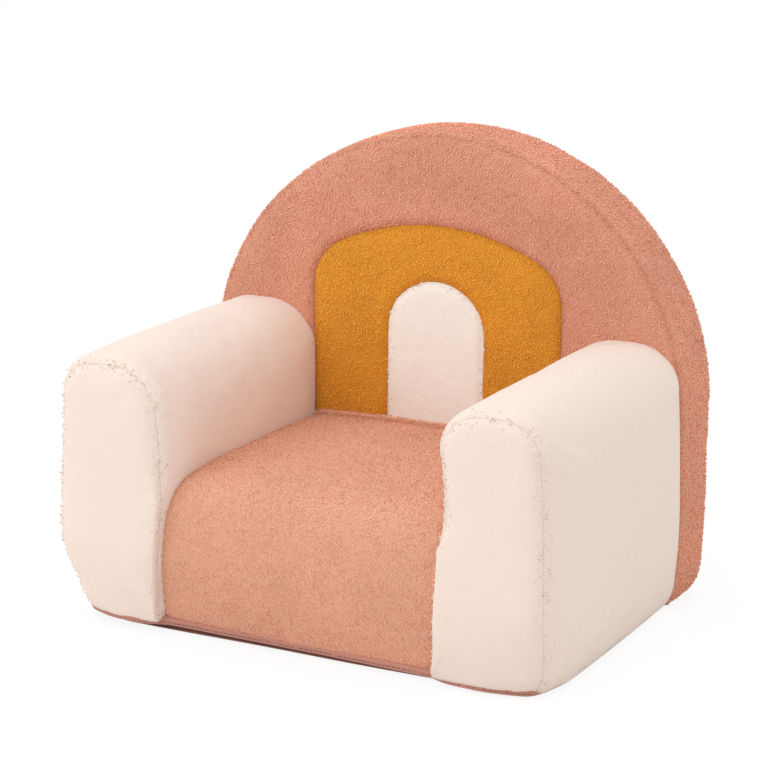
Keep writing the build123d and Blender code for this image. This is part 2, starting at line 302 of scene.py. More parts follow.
def inflate(piece, cap, held=None):
    """Blows a pinned cage up with cloth pressure and keeps at most about cap millimetres of it."""
    mesh = piece.data
    rest = read_points(mesh)
    seams, rims = seam_edges(mesh)
    pinned = seams | rims
    if held is not None:
        pinned |= {int(i) for i in np.nonzero(held(rest / mm))[0]}
    group = piece.vertex_groups.new(name="pinned")
    group.add(sorted(pinned), 1.0, "REPLACE")
    air = piece.modifiers.new("air", "CLOTH")
    air.settings.quality = 6
    air.settings.use_pressure = True
    air.settings.uniform_pressure_force = pressure
    air.settings.vertex_group_mass = "pinned"
    air.settings.tension_stiffness = air.settings.compression_stiffness = 25
    air.settings.bending_stiffness = 1.0
    air.settings.effector_weights.gravity = 0.0
    air.collision_settings.use_collision = False
    air.point_cache.frame_start, air.point_cache.frame_end = 1, frames
    scene = bpy.context.scene
    for number in range(1, frames + 1):
        scene.frame_set(number)
    blown = piece.evaluated_get(bpy.context.evaluated_depsgraph_get()).data
    moved = read_points(blown) - rest
    length = np.linalg.norm(moved, axis=1)[:, None]
    kept = cap * mm * np.tanh(length / (cap * mm))
    piece.modifiers.remove(air)
    piece.vertex_groups.clear()
    scene.frame_set(1)
    write_points(mesh, rest + moved / np.maximum(length, 1e-9) * kept)
    print(piece.name, "moved at most", round(float(length.max()) / mm, 1), "mm, kept",
          round(float(kept.max()) / mm, 1))


def refined(piece, levels):
    """Subdivides a cage into a smooth mesh of small squares."""
    smooth = piece.modifiers.new("smooth", "SUBSURF")
    smooth.levels = smooth.render_levels = levels
    smooth.boundary_smooth = "PRESERVE_CORNERS"
    baked(piece)


# %% [markdown]
# ## The backrest's cage
# Its outline is half a circle on two slightly bowed legs. Rings of that outline run from the
# mustard arch's seam out over the flat face, round the edge, over the band and down to the rear
# face, so the seams are always lines of the grid. The two arches are rings and a filled U too.

# %% Backrest outlines
ring_count = 160
arch_rows, face_rows, band_rows = 13, 16, 14  # rings over the mustard arch, the pink face and the band
small_arch_leg, rear_leg = 56, 50  # squares up the legs of the cream arch and of the rear face
arch_foot = 150.0  # the arches end below the seat's top, where the seat hides them
arch_shift = -5.0  # the arches sit a little left of the middle
outer_half, outer_top, outer_shoulder, outer_crown = 137.0, 366.0, 50.0, 250.0
inner_half, inner_top = 53.0, 308.0


def leg_in(z):
    """How far the backrest's legs lean in at a height."""
    return leg_bow - math.sqrt(leg_bow**2 - (spring - z) ** 2)


def floor_tuck(z, radius):
    """How far a rounded lower edge is drawn in at a height."""
    low = np.clip(radius - z, 0, radius)
    return radius - np.sqrt(radius**2 - low**2)


def back_outline():
    """The backrest's full outline from its left foot over the top to its right foot."""
    heights = np.linspace(binding_top, spring, 40)
    x = np.array([half_width - leg_in(z) - floor_tuck(z, floor_radius) for z in heights])
    right = np.stack([x, heights], 1)
    normal = np.repeat([[1.0, 0.0]], len(heights), 0)
    left = right * (-1, 1)
    top = arc_curve((0, spring), half_width, 180, 0)
    return even([(left, -normal), top, (right[::-1], normal)], ring_count)


def outer_arch_outline():
    """The mustard arch's seam."""
    crown = np.array([0, outer_top - outer_crown])
    shoulder_x = outer_half - outer_shoulder
    shoulder_z = crown[1] + math.sqrt((outer_crown - outer_shoulder) ** 2 - shoulder_x**2)
    lean = math.degrees(math.atan2(shoulder_z - crown[1], shoulder_x))
    parts = [
        straight_curve((-outer_half, arch_foot), (-outer_half, shoulder_z), (-1, 0)),
        arc_curve((-shoulder_x, shoulder_z), outer_shoulder, 180, 180 - lean),
        arc_curve(crown, outer_crown, 180 - lean, lean),
        arc_curve((shoulder_x, shoulder_z), outer_shoulder, lean, 0),
        straight_curve((outer_half, shoulder_z), (outer_half, arch_foot), (1, 0)),
    ]
    points, normals = even(parts, ring_count)
    return points + (arch_shift, 0), normals


def inner_arch_outline():
    """The cream arch's seam."""
    centre = (0, inner_top - inner_half)
    parts = [
        straight_curve((-inner_half, arch_foot), (-inner_half, centre[1]), (-1, 0)),
        arc_curve(centre, inner_half, 180, 0),
        straight_curve((inner_half, centre[1]), (inner_half, arch_foot), (1, 0)),
    ]
    points, normals = even(parts, ring_count)
    return points + (arch_shift, 0), normals


def at_depth(points, y):
    """Puts points of an outline, drawn in X and Z, at a depth."""
    y = np.broadcast_to(y, len(points))
    return np.stack([points[:, 0], y, points[:, 1]], 1)


# %% Backrest cage
ARCH_INNER, ARCH_OUTER, BACK_FRONT, RIM, BACK_REAR = range(5)


def back_cage():
    """The whole skin of the backrest, open only along the floor."""
    outline, normal = back_outline()
    outer, _ = outer_arch_outline()
    inner, _ = inner_arch_outline()
    middle = (back_front + rear) / 2
    half_depth = (rear - back_front) / 2

    def bow(y):
        return rim_bow * ((y - middle) / half_depth) ** 2

    def ring(inset, y):
        return at_depth(outline - inset * normal, y)

    def rounded(radius, start, end, count, flat, inward):
        """Rings round an edge, between two depths from the flat face that it starts from."""
        pairs = quarter(radius, start, end, count)
        return [ring(d + bow(flat + inward * y), flat + inward * y) for d, y in pairs]

    face = ring(back_edge + rim_bow, back_front)
    arch, small = at_depth(outer, back_front), at_depth(inner, back_front)
    before = rounded(back_edge, 0, back_seam_depth, 3, back_front, 1)
    after = rounded(back_edge, back_seam_depth, back_edge, 2, back_front, 1)
    depths = np.linspace(back_front + back_edge, rear - back_rear_edge, band_rows)
    band = [ring(bow(y), y) for y in depths]
    late = rounded(back_rear_edge, 0, back_seam_depth, 3, rear, -1)[::-1]
    early = rounded(back_rear_edge, back_seam_depth, back_rear_edge, 2, rear, -1)[::-1]
    grids = [
        (filled(small, small_arch_leg), ARCH_INNER),
        lofted([small + t * (arch - small) for t in np.linspace(0, 1, arch_rows)], ARCH_OUTER),
        lofted([arch + t * (face - arch) for t in np.linspace(0, 1, face_rows)], BACK_FRONT),
        lofted(before, BACK_FRONT),
        lofted(after + band[1:-1] + early, RIM),
        lofted(late, BACK_REAR),
        (filled(late[-1], rear_leg), BACK_REAR),
    ]
    return cage("back_cage", grids)


back_cushion = back_cage()

# %% [markdown]
# ## The arms' cage
# An arm is one outline, from its inner side over the round top to its outer side, pushed from
# front to rear. Its front end is the same U filled in, with a generous rounded edge.

# %% Arm cage
ARM_FRONT, ARM_WRAP = range(2)
arm_ring_count = 128
arm_leg = 50  # squares up the legs of the filled front
square_within, square_below, square_share = 12, 25, 0.8  # where, and how much, the edge by the seat is square
arm_middle = (arm_inner + half_width) / 2


def arm_outline():
    """The right arm's outline from its inner foot over the top to its outer foot."""
    crown = np.array([arm_middle, arm_top - arm_crown])
    reach = arm_crown - arm_corner
    inner_x = arm_inner + arm_corner
    inner_z = crown[1] + math.sqrt(reach**2 - (inner_x - crown[0]) ** 2)
    lean = math.degrees(math.atan2(inner_z - crown[1], inner_x - crown[0]))
    outer_x = 2 * arm_middle - inner_x
    outer_lean = 180 - lean
    top_bow = arm_side - math.sqrt(arm_side**2 - (inner_z - arm_side_height) ** 2)
    heights = np.linspace(inner_z, binding_top, 50)
    bow = np.array([arm_side - math.sqrt(arm_side**2 - (z - arm_side_height) ** 2) for z in heights])
    x = half_width - bow - floor_tuck(heights, floor_radius)
    outer = np.stack([x, heights], 1)
    shoulder, shoulder_normal = arc_curve((outer_x, inner_z), arm_corner, outer_lean, 0)
    shoulder[:, 0] -= top_bow * np.linspace(0, 1, len(shoulder))
    return even([
        straight_curve((arm_inner, binding_top), (arm_inner, inner_z), (-1, 0)),
        arc_curve((inner_x, inner_z), arm_corner, 180, lean),
        arc_curve(crown, arm_crown, lean, outer_lean),
        (shoulder, shoulder_normal),
        (outer, np.repeat([[1.0, 0.0]], len(heights), 0)),
    ], arm_ring_count)


def arm_cage():
    """The right arm's skin, open along the floor and at the rear, where it meets the backrest."""
    outline, normal = arm_outline()
    outward = np.clip(normal[:, :1] + 1, 0, 1)  # the inner side stays where the seat is

    def slim(y):
        ahead, behind = front + arm_full - y, y - front - arm_full
        if ahead > 0:
            return arm_slim_front * (ahead / arm_full) ** 2
        return arm_slim_rear * (behind / (back_front - front - arm_full)) ** 2

    beside = np.clip(1 - (outline[:, :1] - arm_inner) / square_within, 0, 1)
    beside = 1 - square_share * beside * np.clip((seat_top - outline[:, 1:]) / square_below, 0, 1)

    def ring(inset, depth):
        y = front + depth
        points = outline - slim(y) * outward * normal - inset * beside * normal
        points[:, 1] = np.maximum(points[:, 1], binding_top)
        under = front_floor_radius - np.sqrt(
            front_floor_radius**2 - np.clip(front_floor_radius - points[:, 1], 0, front_floor_radius) ** 2)
        return at_depth(points, y + under * np.clip(1 - depth / arm_edge, 0, 1))

    nose = [ring(d, y) for d, y in quarter(arm_edge, 0, arm_seam_depth, 4)]
    turn = [ring(d, y) for d, y in quarter(arm_edge, arm_seam_depth, arm_edge, 4)]
    rear_end = back_front + cloth - front
    body = [ring(0, y) for y in np.linspace(arm_edge, rear_end, round((rear_end - arm_edge) / step))]
    grids = [
        (filled(nose[0], arm_leg), ARM_FRONT),
        lofted(nose, ARM_FRONT),
        lofted(turn + body[1:], ARM_WRAP),
    ]
    return cage("arm_cage", grids)


arm_cushion = arm_cage()

# %% [markdown]
# ## The seat's cage
# The seat is a side view, from the floor up its bowed front, over the rolled edge and back along
# the crowned top, pushed from arm to arm. At the rear the cloth dips into the seam and stands up
# as a small lip against the backrest.

# %% Seat cage
seat_reach = arm_inner + 6.0  # the seat runs on a little way inside the arms
seat_side_drop, seat_edge_drop = 4.0, 3.0
seat_rows = 90
lip_height, lip_depth = 5.0, 7.0


def seat_profile():
    """The seat's outline in Y and Z, from its front foot to the lip at its rear."""
    crown = np.array([front + seat_crest, seat_top - seat_crown])
    bow_centre = np.array([seat_front + seat_bow, seat_bow_height])
    heights = np.linspace(binding_top, seat_top - seat_roll, 24)
    y = bow_centre[0] - np.sqrt(seat_bow**2 - (heights - bow_centre[1]) ** 2)
    y = y + floor_tuck(heights, front_floor_radius)
    face = np.stack([y, heights], 1)
    roll_centre = np.array([y[-1] + seat_roll, seat_top - seat_roll - 0.8])
    lean = math.degrees(math.atan2(roll_centre[1] - crown[1], roll_centre[0] - crown[0]))
    over = arc_curve(roll_centre, seat_roll, 180, lean)
    depths = np.linspace(over[0][-1][0], back_front - lip_depth, 50)
    top = np.stack([depths, crown[1] + np.sqrt(seat_crown**2 - (depths - crown[0]) ** 2)], 1)
    top[:, 1] += (over[0][-1][1] - top[0, 1]) * np.linspace(1, 0, len(top)) ** 2
    flat = np.repeat([[0.0, 1.0]], len(top), 0)
    body = even([(face, np.repeat([[-1.0, 0.0]], len(face), 0)), over, (top, flat)], seat_rows)[0]
    rear_z = body[-1, 1]
    dip = [(back_front - 5.0, rear_z - 2.0), (back_front - 3.8, rear_z - 3.0),
           (back_front - 3.4, rear_z + 0.5)]
    lip = [(back_front - 3.6, rear_z + 3.0), (back_front - 2.2, rear_z + lip_height),
           (back_front + 0.5, rear_z + lip_height), (back_front + 3.0, rear_z + 3.0)]
    return np.concatenate([body, dip, lip])


def seat_cage():
    """The seat's skin, open at both sides, inside the arms."""
    profile = seat_profile()
    rows = []
    for x in np.linspace(-seat_reach, seat_reach, round(2 * seat_reach / step)):
        share = min(1.0, abs(x) / arm_inner)
        beside = np.clip((abs(x) - arm_inner + 12) / 12, 0, 1.5) ** 2
        drop = seat_side_drop * share**2 + seat_edge_drop * beside
        row = np.stack([np.full(len(profile), x), profile[:, 0], profile[:, 1]], 1)
        up = np.clip((profile[:, 1] - 60) / (seat_top - 60), 0, 1)
        row[:, 2] -= drop * up
        row[:, 1] += drop / 2 * np.clip(1 - (profile[:, 0] - seat_front) / 60, 0, 1)
        rows.append(row)
    return cage("seat_cage", [lofted(rows[::-1], 0)])


seat_cushion = seat_cage()


# %% Inflate the three cushions
back_air, arm_air, seat_air = 3.0, 3.0, 3.5


def arm_held(p):
    """Where the backrest and the seat keep an arm's cloth from moving."""
    by_seat = (p[:, 0] < arm_inner + 1) & (p[:, 2] < seat_top - 15)
    return (p[:, 1] > back_front - 8) | by_seat


def seat_held(p):
    """Where the arms and the backrest keep the seat's cloth from moving."""
    return (abs(p[:, 0]) > arm_inner - 1) | (p[:, 1] > back_front - lip_depth - 1)


inflate(back_cushion, back_air)
inflate(arm_cushion, arm_air, arm_held)
inflate(seat_cushion, seat_air, seat_held)

# %% [markdown]
# ## Seams
# A sewn seam pulls the cloth in. After the cushions are refined, every point near the meeting of
# two panels is drawn inwards, most at the seam itself. The same nearness is kept on the mesh as
# an attribute, so that the finish can paint shade on the pile there and locks of fibre can stand up.

# %% Draw the seams in
def sew(piece, depth, width):
    """Draws a cushion in along its seams, and keeps how near each point is to one."""
    mesh = piece.data
    points = read_points(mesh)
    seams, _ = seam_edges(mesh)
    near = np.zeros(len(points))
    if seams:
        tree = kdtree.KDTree(len(seams))
        for number, index in enumerate(seams):
            tree.insert(Vector(points[index]), number)
        tree.balance()
        gaps = np.array([tree.find(Vector(p))[2] for p in points])
        near = np.exp(-((gaps / (width * mm)) ** 2))
    write_points(mesh, points - read_normals(mesh) * near[:, None] * depth * mm)
    kept = mesh.attributes.new("seam", "FLOAT", "POINT")
    kept.data.foreach_set("value", near.astype(np.float32))


def cut_out(cushion, node, panel, hidden=None):
    """One panel of a cushion as an object of its own, without what its neighbours hide."""
    name = node + "_cloth"
    made = bmesh.new()
    made.from_mesh(cushion.data)
    gone = [f for f in made.faces if f.material_index != panel
            or (hidden is not None and hidden(f.calc_center_median() / mm))]
    bmesh.ops.delete(made, geom=gone, context="FACES")
    for face in made.faces:
        face.material_index = 0
    return placed(name, finished(made, name))


for cushion, depth, width in ((back_cushion, 2.6, 5.0), (arm_cushion, 1.6, 6.5), (seat_cushion, 0.0, 5.0)):
    refined(cushion, 1)
    sew(cushion, depth, width)

# %% [markdown]
# ## How the chair stands
# Stuffed cloth is never quite where its pattern says. The sides of the real chair stand out a few
# millimetres past its blocks, most near the floor, and the backrest's left shoulder a little more.
# The seams between seat and arms lean to one side as they come down. The front's foot is drawn
# under, most at its corners, and its left half stands a few millimetres off the floor. One function
# moves the points of every finished piece that shows, so pieces that touch still touch.

# %% Swell and lean
side_swell, foot_swell = 6.5, 3.0
lean_high, lean_low = 7.0, -6.5  # how far the front seams are moved at the seat's top and at the floor
front_under, corner_in, corner_back = 11.0, 5.0, 13.0  # how far the front and its corners are drawn under
foot_at = (-250, -140, 60, 180, 240)  # places across the front
foot_lift = (6.0, 5.5, 3.5, 1.5, 0.0)  # how far the front's foot is off the floor at each
back_swell = 2.5  # how far the backrest's left shoulder stands out
seat_hem, arm_hem, side_hem = 2.5, 0.6, 2.4  # how far the panels' lower edges come down over the strip


def smooth_share(value, start, end):
    """0 before start, 1 past end, and a smooth step between."""
    share = np.clip((value - start) / (end - start), 0, 1)
    return share * share * (3 - 2 * share)


def settled(points):
    """Points of the chair, in metres, moved to where the stuffed cover has them."""
    x, y, z = (points / mm).T
    side = np.sign(x) * (np.abs(x) / half_width) ** 2
    swell = side * (side_swell + foot_swell * smooth_share(z, 170, 60) * smooth_share(z, -10, 30))
    seam = smooth_share(np.abs(x), 60, 125) * smooth_share(np.abs(x), 245, 175)
    lean = lean_low + (lean_high - lean_low) * np.clip(z / seat_top, 0, 1)
    low = smooth_share(z, 95, 5)
    corner = low * smooth_share(np.abs(x), 185, 255) * smooth_share(y, -120, -195)
    moved = points.copy()
    moved[:, 0] += (swell - np.sign(x) * corner_in * corner) * mm
    moved[:, 0] += lean * seam * smooth_share(y, -90, -165) * smooth_share(z, 260, 175) * mm
    moved[:, 1] += (front_under * low * smooth_share(y, -100, -185) + corner_back * corner) * mm
    foot = smooth_share(z, 90, 20) * smooth_share(y, -110, -185)
    moved[:, 2] += np.interp(x, foot_at, foot_lift) * foot * mm
    moved[:, 0] -= back_swell * smooth_share(x, -60, -200) * smooth_share(z, 200, 290) * mm
    return moved


def hemmed(points):
    """A panel's points with its lower edge drawn down over the strip, most at the chair's sides."""
    x, y, z = (points / mm).T
    arms = smooth_share(np.abs(x), arm_inner - 8, arm_inner + 8)
    sides = smooth_share(np.abs(x), 225, 245)
    moved = points.copy()
    moved[:, 2] -= (seat_hem + arm_hem * arms + side_hem * sides) * smooth_share(z, 34, 9) * mm
    return moved


# %% [markdown]
# ## Finishes: shared effects
# Three effects are used by several materials, so each is a node group with named inputs. One
# makes the knotted relief of a looped pile, one the slow change of tone over a large panel with
# painted shade in its pits and along its seams, and one a plain weave.

# %% Node helpers
def add(tree, kind, values=None, **settings):
    """Adds a node, sets its options, and sets or links its inputs by name or number."""
    made = tree.nodes.new(kind)
    for key, value in settings.items():
        setattr(made, key, value)
    for key, value in (values or {}).items():
        if isinstance(value, bpy.types.NodeSocket):
            tree.links.new(value, made.inputs[key])
        else:
            made.inputs[key].default_value = value
    return made


def group_tree(name, kind, inputs, outputs):
    """An empty node group with named sockets, and its two end nodes."""
    tree = bpy.data.node_groups.new(name, kind)
    for label, socket, default in inputs:
        made = tree.interface.new_socket(label, in_out="INPUT", socket_type=socket)
        if default is not None:
            made.default_value = default
    for label, socket in outputs:
        tree.interface.new_socket(label, in_out="OUTPUT", socket_type=socket)
    return tree, tree.nodes.new("NodeGroupInput"), tree.nodes.new("NodeGroupOutput")


def maths(tree, operation, first, second=0.0, clamp=False):
    """One sum; gives its result socket."""
    return add(tree, "ShaderNodeMath", {0: first, 1: second}, operation=operation, use_clamp=clamp).outputs[0]


def remap(tree, value, from_low, from_high, to_low, to_high):
    """Stretches a value from one range to another; gives its result socket."""
    return add(tree, "ShaderNodeMapRange", {"Value": value, "From Min": from_low, "From Max": from_high,
                                            "To Min": to_low, "To Max": to_high}).outputs["Result"]


def vector(tree, x=0.0, y=0.0, z=0.0):
    """Three numbers or sockets as one vector; gives its socket."""
    return add(tree, "ShaderNodeCombineXYZ", {"X": x, "Y": y, "Z": z}).outputs[0]


def chance_between(tree, low, high, seed):
    """A random number for each thing, from a fixed seed; gives its socket."""
    return add(tree, "FunctionNodeRandomValue", {2: low, 3: high, "Seed": seed}, data_type="FLOAT").outputs[1]


FLOAT, COLOUR = "NodeSocketFloat", "NodeSocketColor"

# %% Effect: knotted pile
knots, ends, out = group_tree(
    "knotted_pile", "ShaderNodeTree",
    [("Size", FLOAT, 0.003), ("Tangle", FLOAT, 0.6), ("Seed", FLOAT, 0.0)],
    [("Height", FLOAT), ("Pits", FLOAT)],
)
place = add(knots, "ShaderNodeTexCoord").outputs["Object"]
scale = maths(knots, "DIVIDE", 1.0, ends.outputs["Size"])
tangle = add(knots, "ShaderNodeTexNoise", {"Vector": place, "W": ends.outputs["Seed"], "Scale": scale,
                                           "Detail": 2.0}, noise_dimensions="4D")
shift = add(knots, "ShaderNodeVectorMath", {0: tangle.outputs["Color"], 1: (0.5, 0.5, 0.5)},
            operation="SUBTRACT")
reach = maths(knots, "MULTIPLY", ends.outputs["Size"], ends.outputs["Tangle"])
shift = add(knots, "ShaderNodeVectorMath", {0: shift.outputs[0], "Scale": reach}, operation="SCALE")
bent = add(knots, "ShaderNodeVectorMath", {0: place, 1: shift.outputs[0]}, operation="ADD")
cells = add(knots, "ShaderNodeTexVoronoi", {"Vector": bent.outputs[0], "Scale": scale, "Smoothness": 0.6},
            feature="SMOOTH_F1")
fine = add(knots, "ShaderNodeTexNoise",
           {"Vector": bent.outputs[0], "Scale": maths(knots, "MULTIPLY", scale, 1.6), "Detail": 3.0})
dome = remap(knots, cells.outputs["Distance"], 0.1, 0.75, 1.0, 0.0)
both = maths(knots, "ADD", maths(knots, "MULTIPLY", dome, 0.65),
             maths(knots, "MULTIPLY", fine.outputs["Fac"], 0.5))
knots.links.new(both, out.inputs["Height"])
# Pits marks the low places between the knots, where the tone group paints shade.
pits = remap(knots, both, 0.62, 0.32, 0.0, 1.0)
knots.links.new(pits, out.inputs["Pits"])

# %% Effect: tone and painted shade over a panel
tone, ends, out = group_tree(
    "panel_tone", "ShaderNodeTree",
    [("Colour", COLOUR, (1, 1, 1, 1)), ("Deep Colour", COLOUR, (0.5, 0.5, 0.5, 1)), ("Pits", FLOAT, 0.0),
     ("Pit Share", FLOAT, 0.6), ("Spread", FLOAT, 0.12), ("Seam Share", FLOAT, 0.4)],
    [("Colour", COLOUR)],
)
place = add(tone, "ShaderNodeTexCoord").outputs["Object"]
clouds = add(tone, "ShaderNodeTexNoise", {"Vector": place, "Scale": 14.0, "Detail": 3.0})
# The tone attribute holds each loop's own random tone, and a low tone on the ground between the loops, which
# is painted shade.
loops = add(tone, "ShaderNodeAttribute", attribute_name="tone")
seam = add(tone, "ShaderNodeAttribute", attribute_name="seam")
slow = remap(tone, clouds.outputs["Fac"], 0.3, 0.7, -0.5, 0.5)
each = maths(tone, "SUBTRACT", loops.outputs["Fac"], 0.5)
spread = maths(tone, "MULTIPLY", maths(tone, "ADD", slow, maths(tone, "MULTIPLY", each, 2.0)),
               ends.outputs["Spread"])
light = maths(tone, "ADD", 1.0, spread)
varied = add(tone, "ShaderNodeMix", {"Factor": 1.0, 6: ends.outputs["Colour"], 7: light}, data_type="RGBA",
             blend_type="MULTIPLY")
# Painted shade: the colour is drawn towards the shade colour in the pits and near the seams.
depth = maths(tone, "ADD", maths(tone, "MULTIPLY", ends.outputs["Pits"], ends.outputs["Pit Share"]),
              maths(tone, "MULTIPLY", seam.outputs["Fac"], ends.outputs["Seam Share"]), clamp=True)
shaded_colour = add(tone, "ShaderNodeMix", {"Factor": depth, 6: varied.outputs[2], 7: ends.outputs["Deep Colour"]},
           data_type="RGBA")
tone.links.new(shaded_colour.outputs[2], out.inputs["Colour"])

# %% Effect: plain weave
weave, ends, out = group_tree(
    "plain_weave", "ShaderNodeTree", [("Thread", FLOAT, 0.0006), ("Lean", FLOAT, 0.0)],
    [("Height", FLOAT), ("Gaps", FLOAT)],
)
place = add(weave, "ShaderNodeTexCoord").outputs["Object"]
parts = add(weave, "ShaderNodeSeparateXYZ", {0: place})
pace = maths(weave, "DIVIDE", math.pi, ends.outputs["Thread"])
run = maths(weave, "ADD", parts.outputs["X"],
            maths(weave, "MULTIPLY", parts.outputs["Y"], ends.outputs["Lean"]))
rise = maths(weave, "ADD", parts.outputs["Z"], parts.outputs["Y"])
warp = maths(weave, "SINE", maths(weave, "MULTIPLY", run, pace))
weft = maths(weave, "SINE", maths(weave, "MULTIPLY", rise, pace))
crossing = maths(weave, "MULTIPLY", warp, weft)
height = remap(weave, crossing, -1.0, 1.0, 0.0, 1.0)
weave.links.new(height, out.inputs["Height"])
weave.links.new(maths(weave, "POWER", maths(weave, "SUBTRACT", 1.0, height), 3.0), out.inputs["Gaps"])

# %% [markdown]
# ## Finishes: the materials
# The pink and mustard cloths are the same looped pile in two colours. The cream is a finer brushed
# pile, with shallower relief. All are matt with a soft sheen at grazing angles, which is what
# keeps a hairy cloth from going dark at its edges.

# %% Pile materials
def use(tree, group, **values):
    """Places a node group and sets or links its inputs by name, with _ for a space."""
    made = tree.nodes.new("ShaderNodeGroup")
    made.node_tree = group
    for key, value in values.items():
        target = made.inputs[key.replace("_", " ")]
        if isinstance(value, bpy.types.NodeSocket):
            tree.links.new(value, target)
        else:
            target.default_value = value
    return made


def blank(name, roughness):
    """A new material of one roughness, with its tree and its shader."""
    made = bpy.data.materials.new(name)
    made.use_nodes = True
    shader = made.node_tree.nodes["Principled BSDF"]
    shader.inputs["Roughness"].default_value = roughness
    return made, made.node_tree, shader


def bumped(tree, shader, height, depth, strength):
    """Gives a shader a relief of this depth in metres."""
    bump = add(tree, "ShaderNodeBump", {"Height": height, "Strength": strength, "Distance": depth})
    tree.links.new(bump.outputs["Normal"], shader.inputs["Normal"])


def pile(name, colour, shaded_colour, size, relief, sheen, spread, pit_shade_share, seam_shade_share):
    """A matt pile cloth: knots of one size in metres, their relief, how far the tone wanders, and how much
    shade is painted in its pits and along its seams.
    """
    made, tree, shader = blank(name, 0.95)
    shader.inputs["Specular IOR Level"].default_value = 0.15
    shader.inputs["Sheen Weight"].default_value = sheen
    shader.inputs["Sheen Roughness"].default_value = 0.6
    knot = use(tree, knots, Size=size)
    shade = use(tree, tone, Colour=(*colour, 1), Deep_Colour=(*shaded_colour, 1), Pits=knot.outputs["Pits"],
                Pit_Share=pit_shade_share, Spread=spread, Seam_Share=seam_shade_share)
    tree.links.new(shade.outputs["Colour"], shader.inputs["Base Color"])
    bumped(tree, shader, knot.outputs["Height"], relief, 1.0)
    return made


pink = pile("curly_pink", (0.911, 0.451, 0.302), (0.6, 0.232, 0.142), size=0.0026, relief=0.0006,
            sheen=0.2, spread=0.11, pit_shade_share=0.3, seam_shade_share=0.35)
# The seat is the backrest's pink cloth with flatter relief; its colour is set a little apart from it to match
# how light falls on the seat, which is painted light.
pink_seat_painted_light = pile("curly_pink_seat", (0.863, 0.457, 0.307), (0.608, 0.261, 0.165), size=0.0026, relief=0.0004,
                 sheen=0.2, spread=0.07, pit_shade_share=0.2, seam_shade_share=0.3)
mustard = pile("curly_mustard", (0.95, 0.454, 0.048), (0.693, 0.224, 0.013), size=0.0026, relief=0.0006,
               sheen=0.1, spread=0.13, pit_shade_share=0.35, seam_shade_share=0.3)
cream = pile("brushed_cream", (0.892, 0.765, 0.682), (0.786, 0.649, 0.565), size=0.0030, relief=0.0003,
             sheen=0.3, spread=0.015, pit_shade_share=0.06, seam_shade_share=0.0)
# The arch is the arms' cream cloth, given a lighter colour to match how bright it looks in its place: painted
# light.
cream_inset_painted_light = pile("brushed_cream_inset", (0.95, 0.909, 0.843), (0.834, 0.752, 0.67),
                   size=0.0030, relief=0.00025, sheen=0.2, spread=0.015, pit_shade_share=0.06, seam_shade_share=0.0)


def cloth_weave(name, colour, thread, relief, roughness, sheen, lean=0.0):
    """A plain woven cloth or tape of one thread size in metres."""
    made, tree, shader = blank(name, roughness)
    shader.inputs["Specular IOR Level"].default_value = 0.3
    shader.inputs["Sheen Weight"].default_value = sheen
    woven = use(tree, weave, Thread=thread, Lean=lean)
    # Painted shade: the gaps between the threads are drawn towards this darker colour.
    dark = tuple(0.55 * c for c in colour)
    shade = use(tree, tone, Colour=(*colour, 1), Deep_Colour=(*dark, 1), Pits=woven.outputs["Gaps"],
                Pit_Share=0.5, Spread=0.14, Seam_Share=0.3)
    tree.links.new(shade.outputs["Colour"], shader.inputs["Base Color"])
    bumped(tree, shader, woven.outputs["Height"], relief, 0.8)
    return made


strip_cloth = cloth_weave("smooth_rose", (0.66, 0.30, 0.23), 0.0005, 0.0001, 0.55, 0.3)
base_weave = cloth_weave("woven_base", (0.45, 0.20, 0.16), 0.0009, 0.0003, 0.9, 0.1)
tape_weave = cloth_weave("woven_tape", (0.52, 0.20, 0.15), 0.0007, 0.0002, 0.85, 0.1, lean=0.8)
thread = cloth_weave("brown_thread", (0.26, 0.085, 0.055), 0.0004, 0.0001, 0.6, 0.2, lean=1.0)


def moulded(name, colour, metallic, roughness, grain, worn):
    """Moulded plastic or painted metal with a fine grain, cloudy gloss and small worn spots."""
    made, tree, shader = blank(name, roughness)
    place = add(tree, "ShaderNodeTexCoord").outputs["Object"]
    fine = add(tree, "ShaderNodeTexNoise", {"Vector": place, "Scale": 3000.0, "Detail": 2.0})
    wide = add(tree, "ShaderNodeTexNoise", {"Vector": place, "Scale": 420.0, "Detail": 4.0})
    bare = remap(tree, wide.outputs["Fac"], 0.66, 0.70, 0.0, worn)
    bare.node.clamp = True
    bare_metal = (0.55, 0.50, 0.48, 1)
    tint = add(tree, "ShaderNodeMix", {"Factor": bare, 6: (*colour, 1), 7: bare_metal}, data_type="RGBA")
    tree.links.new(tint.outputs[2], shader.inputs["Base Color"])
    tree.links.new(remap(tree, wide.outputs["Fac"], 0.3, 0.7, roughness - 0.06, roughness + 0.08),
                   shader.inputs["Roughness"])
    if metallic:
        tree.links.new(remap(tree, bare, 0.0, 1.0, metallic, 1.0), shader.inputs["Metallic"])
    bumped(tree, shader, fine.outputs["Fac"], grain, 0.5)
    return made


teeth_plastic = moulded("satin_teeth", (0.52, 0.20, 0.15), 0.0, 0.38, 0.00004, 0.0)
zip_paint = moulded("painted_zip", (0.45, 0.20, 0.15), 0.25, 0.34, 0.00003, 0.8)

foam_cells, tree, shader = blank("open_foam", 0.95)
foam_colour, pore_shade_colour = (0.86, 0.82, 0.68, 1), (0.55, 0.50, 0.38, 1)
place = add(tree, "ShaderNodeTexCoord").outputs["Object"]
